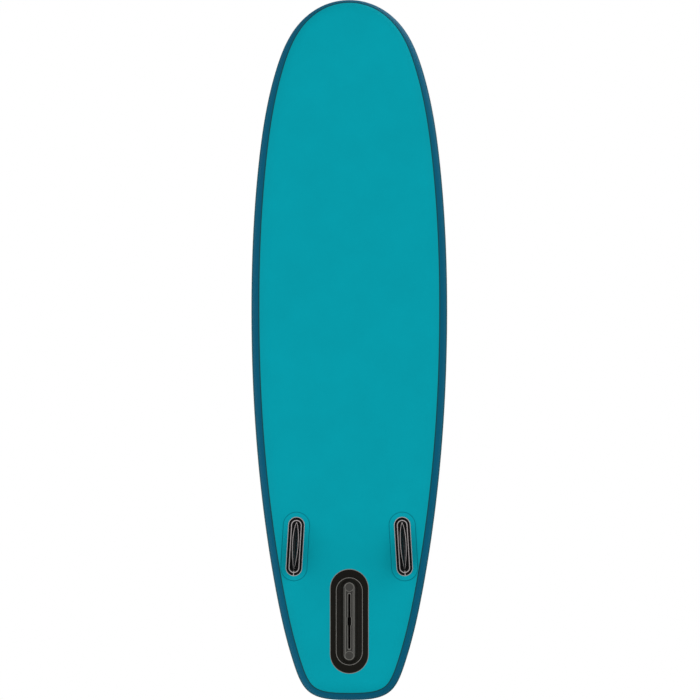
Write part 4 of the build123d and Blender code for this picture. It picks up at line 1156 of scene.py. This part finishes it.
def tube_along(name, path, radius, finish, sides=20):
    """A round tube on a path, with rounded ends. Its frame is carried along without twist, and its surface
    map runs along the path and round the tube, both in metres."""
    way = np.gradient(path, axis=0)
    way /= np.linalg.norm(way, axis=1)[:, None]
    side = np.cross(way[0], (0.2, 0.3, 1.0))
    sides_along = []
    for direction in way:
        side = side - direction * side.dot(direction)
        side /= np.linalg.norm(side)
        sides_along.append(side)
    side = np.array(sides_along)
    dome = np.array([(1.0, 0.0), (0.87, 0.5), (0.5, 0.87), (0.0, 1.0)])
    place = np.concatenate([path[0] - way[0] * dome[:, :1] * radius, path[1:-1],
                            path[-1] + way[-1] * dome[::-1, :1] * radius])
    thick = np.concatenate([dome[:, 1], np.ones(len(path) - 2), dome[::-1, 1]]) * radius
    order = np.clip(np.arange(1 - len(dome), len(path) + len(dome) - 1), 0, len(path) - 1)
    angle = np.linspace(0, 2 * np.pi, sides + 1)
    other = np.cross(way, side)
    turn = angle[None, :, None]
    ring = np.cos(turn) * side[order][:, None] + np.sin(turn) * other[order][:, None]
    grid = place[:, None] + thick[:, None, None] * ring
    run = np.concatenate([[0], np.cumsum(np.linalg.norm(np.diff(place, axis=0), axis=1))])
    uv = np.stack(np.broadcast_arrays(run[:, None], (angle * radius)[None, :]), axis=-1)
    return grid_piece(name, grid, finish, line=0, uv=uv)


def braid(name, colour, fleck, strands):
    """A braided sheath: two crossed sets of raised yarns on the surface map, a few of them in the fleck's
    colour. strands is how many yarns slant each way round the cord."""
    finish, tree, shader = new_finish(name, 0.7, 0.2)
    along = add_node(tree, "ShaderNodeUVMap", uv_map="surface").outputs[0]
    turns = strands / (np.pi * cord_diameter)
    sets = []
    for lean in (1, -1):
        slanted = add_node(tree, "ShaderNodeMapping", [("Vector", along),
                                                       ("Scale", (turns * 0.8, turns * lean, 1))])
        yarn = waves(tree, slanted.outputs[0], 0.314, "DIAGONAL")
        sets.append((slanted, yarn))
    height = maths(tree, "MAXIMUM", sets[0][1], sets[1][1])
    few = add_node(tree, "ShaderNodeMapping", [("Vector", sets[0][0].outputs[0]),
                                               ("Scale", (0.25, 0.25, 1))])
    fleck_wave = waves(tree, few.outputs[0], 0.314, "DIAGONAL")
    chosen = maths(tree, "GREATER_THAN", fleck_wave, 0.86)
    shown = maths(tree, "MULTIPLY", chosen, sets[1][1])
    body = mixed_colour(tree, shown, colour, fleck)
    finished(tree, shader, body, height, 0.7, 0.0004)
    return finish


cord_braid = braid("bungee_braid", linear(26, 27, 30), linear(96, 168, 176), 8)
# the corners of the solid cord's route, and on each long run one more point 12 mm from its corner
control_points = [
    (0.012979, 0.931582, 0.184651), (0.093722, 0.931582, 0.189235),
    (0.105703, 0.931582, 0.189915), (0.105703, 0.931582, 0.177915),
    (0.097958, 0.922432, 0.177374), (-0.127958, 0.655517, 0.161591),
    (-0.135703, 0.646367, 0.16105), (-0.135703, 0.646367, 0.17305),
    (-0.123715, 0.646367, 0.17252), (0.123715, 0.646367, 0.16158),
    (0.135703, 0.646367, 0.16105), (0.135703, 0.646367, 0.17305),
    (0.127958, 0.655517, 0.173591), (-0.097958, 0.922432, 0.189374),
    (-0.105703, 0.931582, 0.189915), (-0.105703, 0.931582, 0.177915),
    (-0.093722, 0.931582, 0.178595), (-0.012979, 0.931582, 0.183178),
]
knot_end_right, knot_end_left = control_points[0], control_points[-1]
bungee_path = smooth_route("bungee_route", control_points)
bungee = tube_along("bungee_braided_cord", bungee_path, cord_diameter / 2, cord_braid)
fitted(bungee, "cord", "bungee_cord")

knot_middle = (np.array(knot_end_right) + np.array(knot_end_left)) / 2
knot_way = np.array([0.998393, 0, 0.056672])
knot_side, knot_up = np.array([0, 1.0, 0]), np.array([-0.056672, 0, 0.998393])
wrap_turns, wrap_radius, wrap_half, knot_cord_radius = 3.5, 5.0 * mm, 10.6 * mm, 2.9 * mm
share = np.linspace(-1, 1, 43)
angle = np.pi * wrap_turns * share + np.pi / 2
tail_out = np.array([(0.5 * np.pi, 19, 10.5), (0.42 * np.pi, 16.5, 9.5), (0.3 * np.pi, 13.8, 7.6),
                     (0.15 * np.pi, 11.8, 5.9)])
turn_all = np.concatenate([angle[0] - tail_out[:, 0], angle, angle[-1] + tail_out[::-1, 0]])
along_all = np.concatenate([-tail_out[:, 1] * mm, share * wrap_half, tail_out[::-1, 1] * mm])
radius_all = np.concatenate([tail_out[:, 2] * mm, np.full(len(share), wrap_radius), tail_out[::-1, 2] * mm])
knot_points = (knot_middle + along_all[:, None] * knot_way
               + (radius_all * np.cos(turn_all))[:, None] * knot_side
               + (radius_all * np.sin(turn_all))[:, None] * knot_up)
knot = tube_along("bungee_wrapped_knot", smooth_route("knot_route", knot_points), knot_cord_radius,
                  cord_braid)
fitted(knot, "cord", "bungee_knot")

# ---- Valve spring. A steel coil that stands on the valve's seat, and its turns are a helix. In use it
# shortens towards the seat as the plunger is pushed; here it is drawn at rest.
spring_turns, spring_wire, spring_radius = 5, 0.35 * mm, 3.9 * mm
spring_length, plunger_travel, spring_slack = 10.5 * mm, 5.0 * mm, 0.1 * mm
spring_seat = np.array([0.0, valve_y, 128 * mm])
turn = np.linspace(0, 2 * np.pi * spring_turns, 36 * spring_turns + 1)
rise = spring_wire + (spring_length - 2 * spring_wire) * turn / turn[-1]
coil = np.stack([spring_radius * np.cos(turn), spring_radius * np.sin(turn), rise], axis=-1) + spring_seat
spring = tube_along("valve_spring_coil", coil, spring_wire, stainless, sides=12)
fitted(spring, "spring_steel", "valve_spring")
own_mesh(spring)
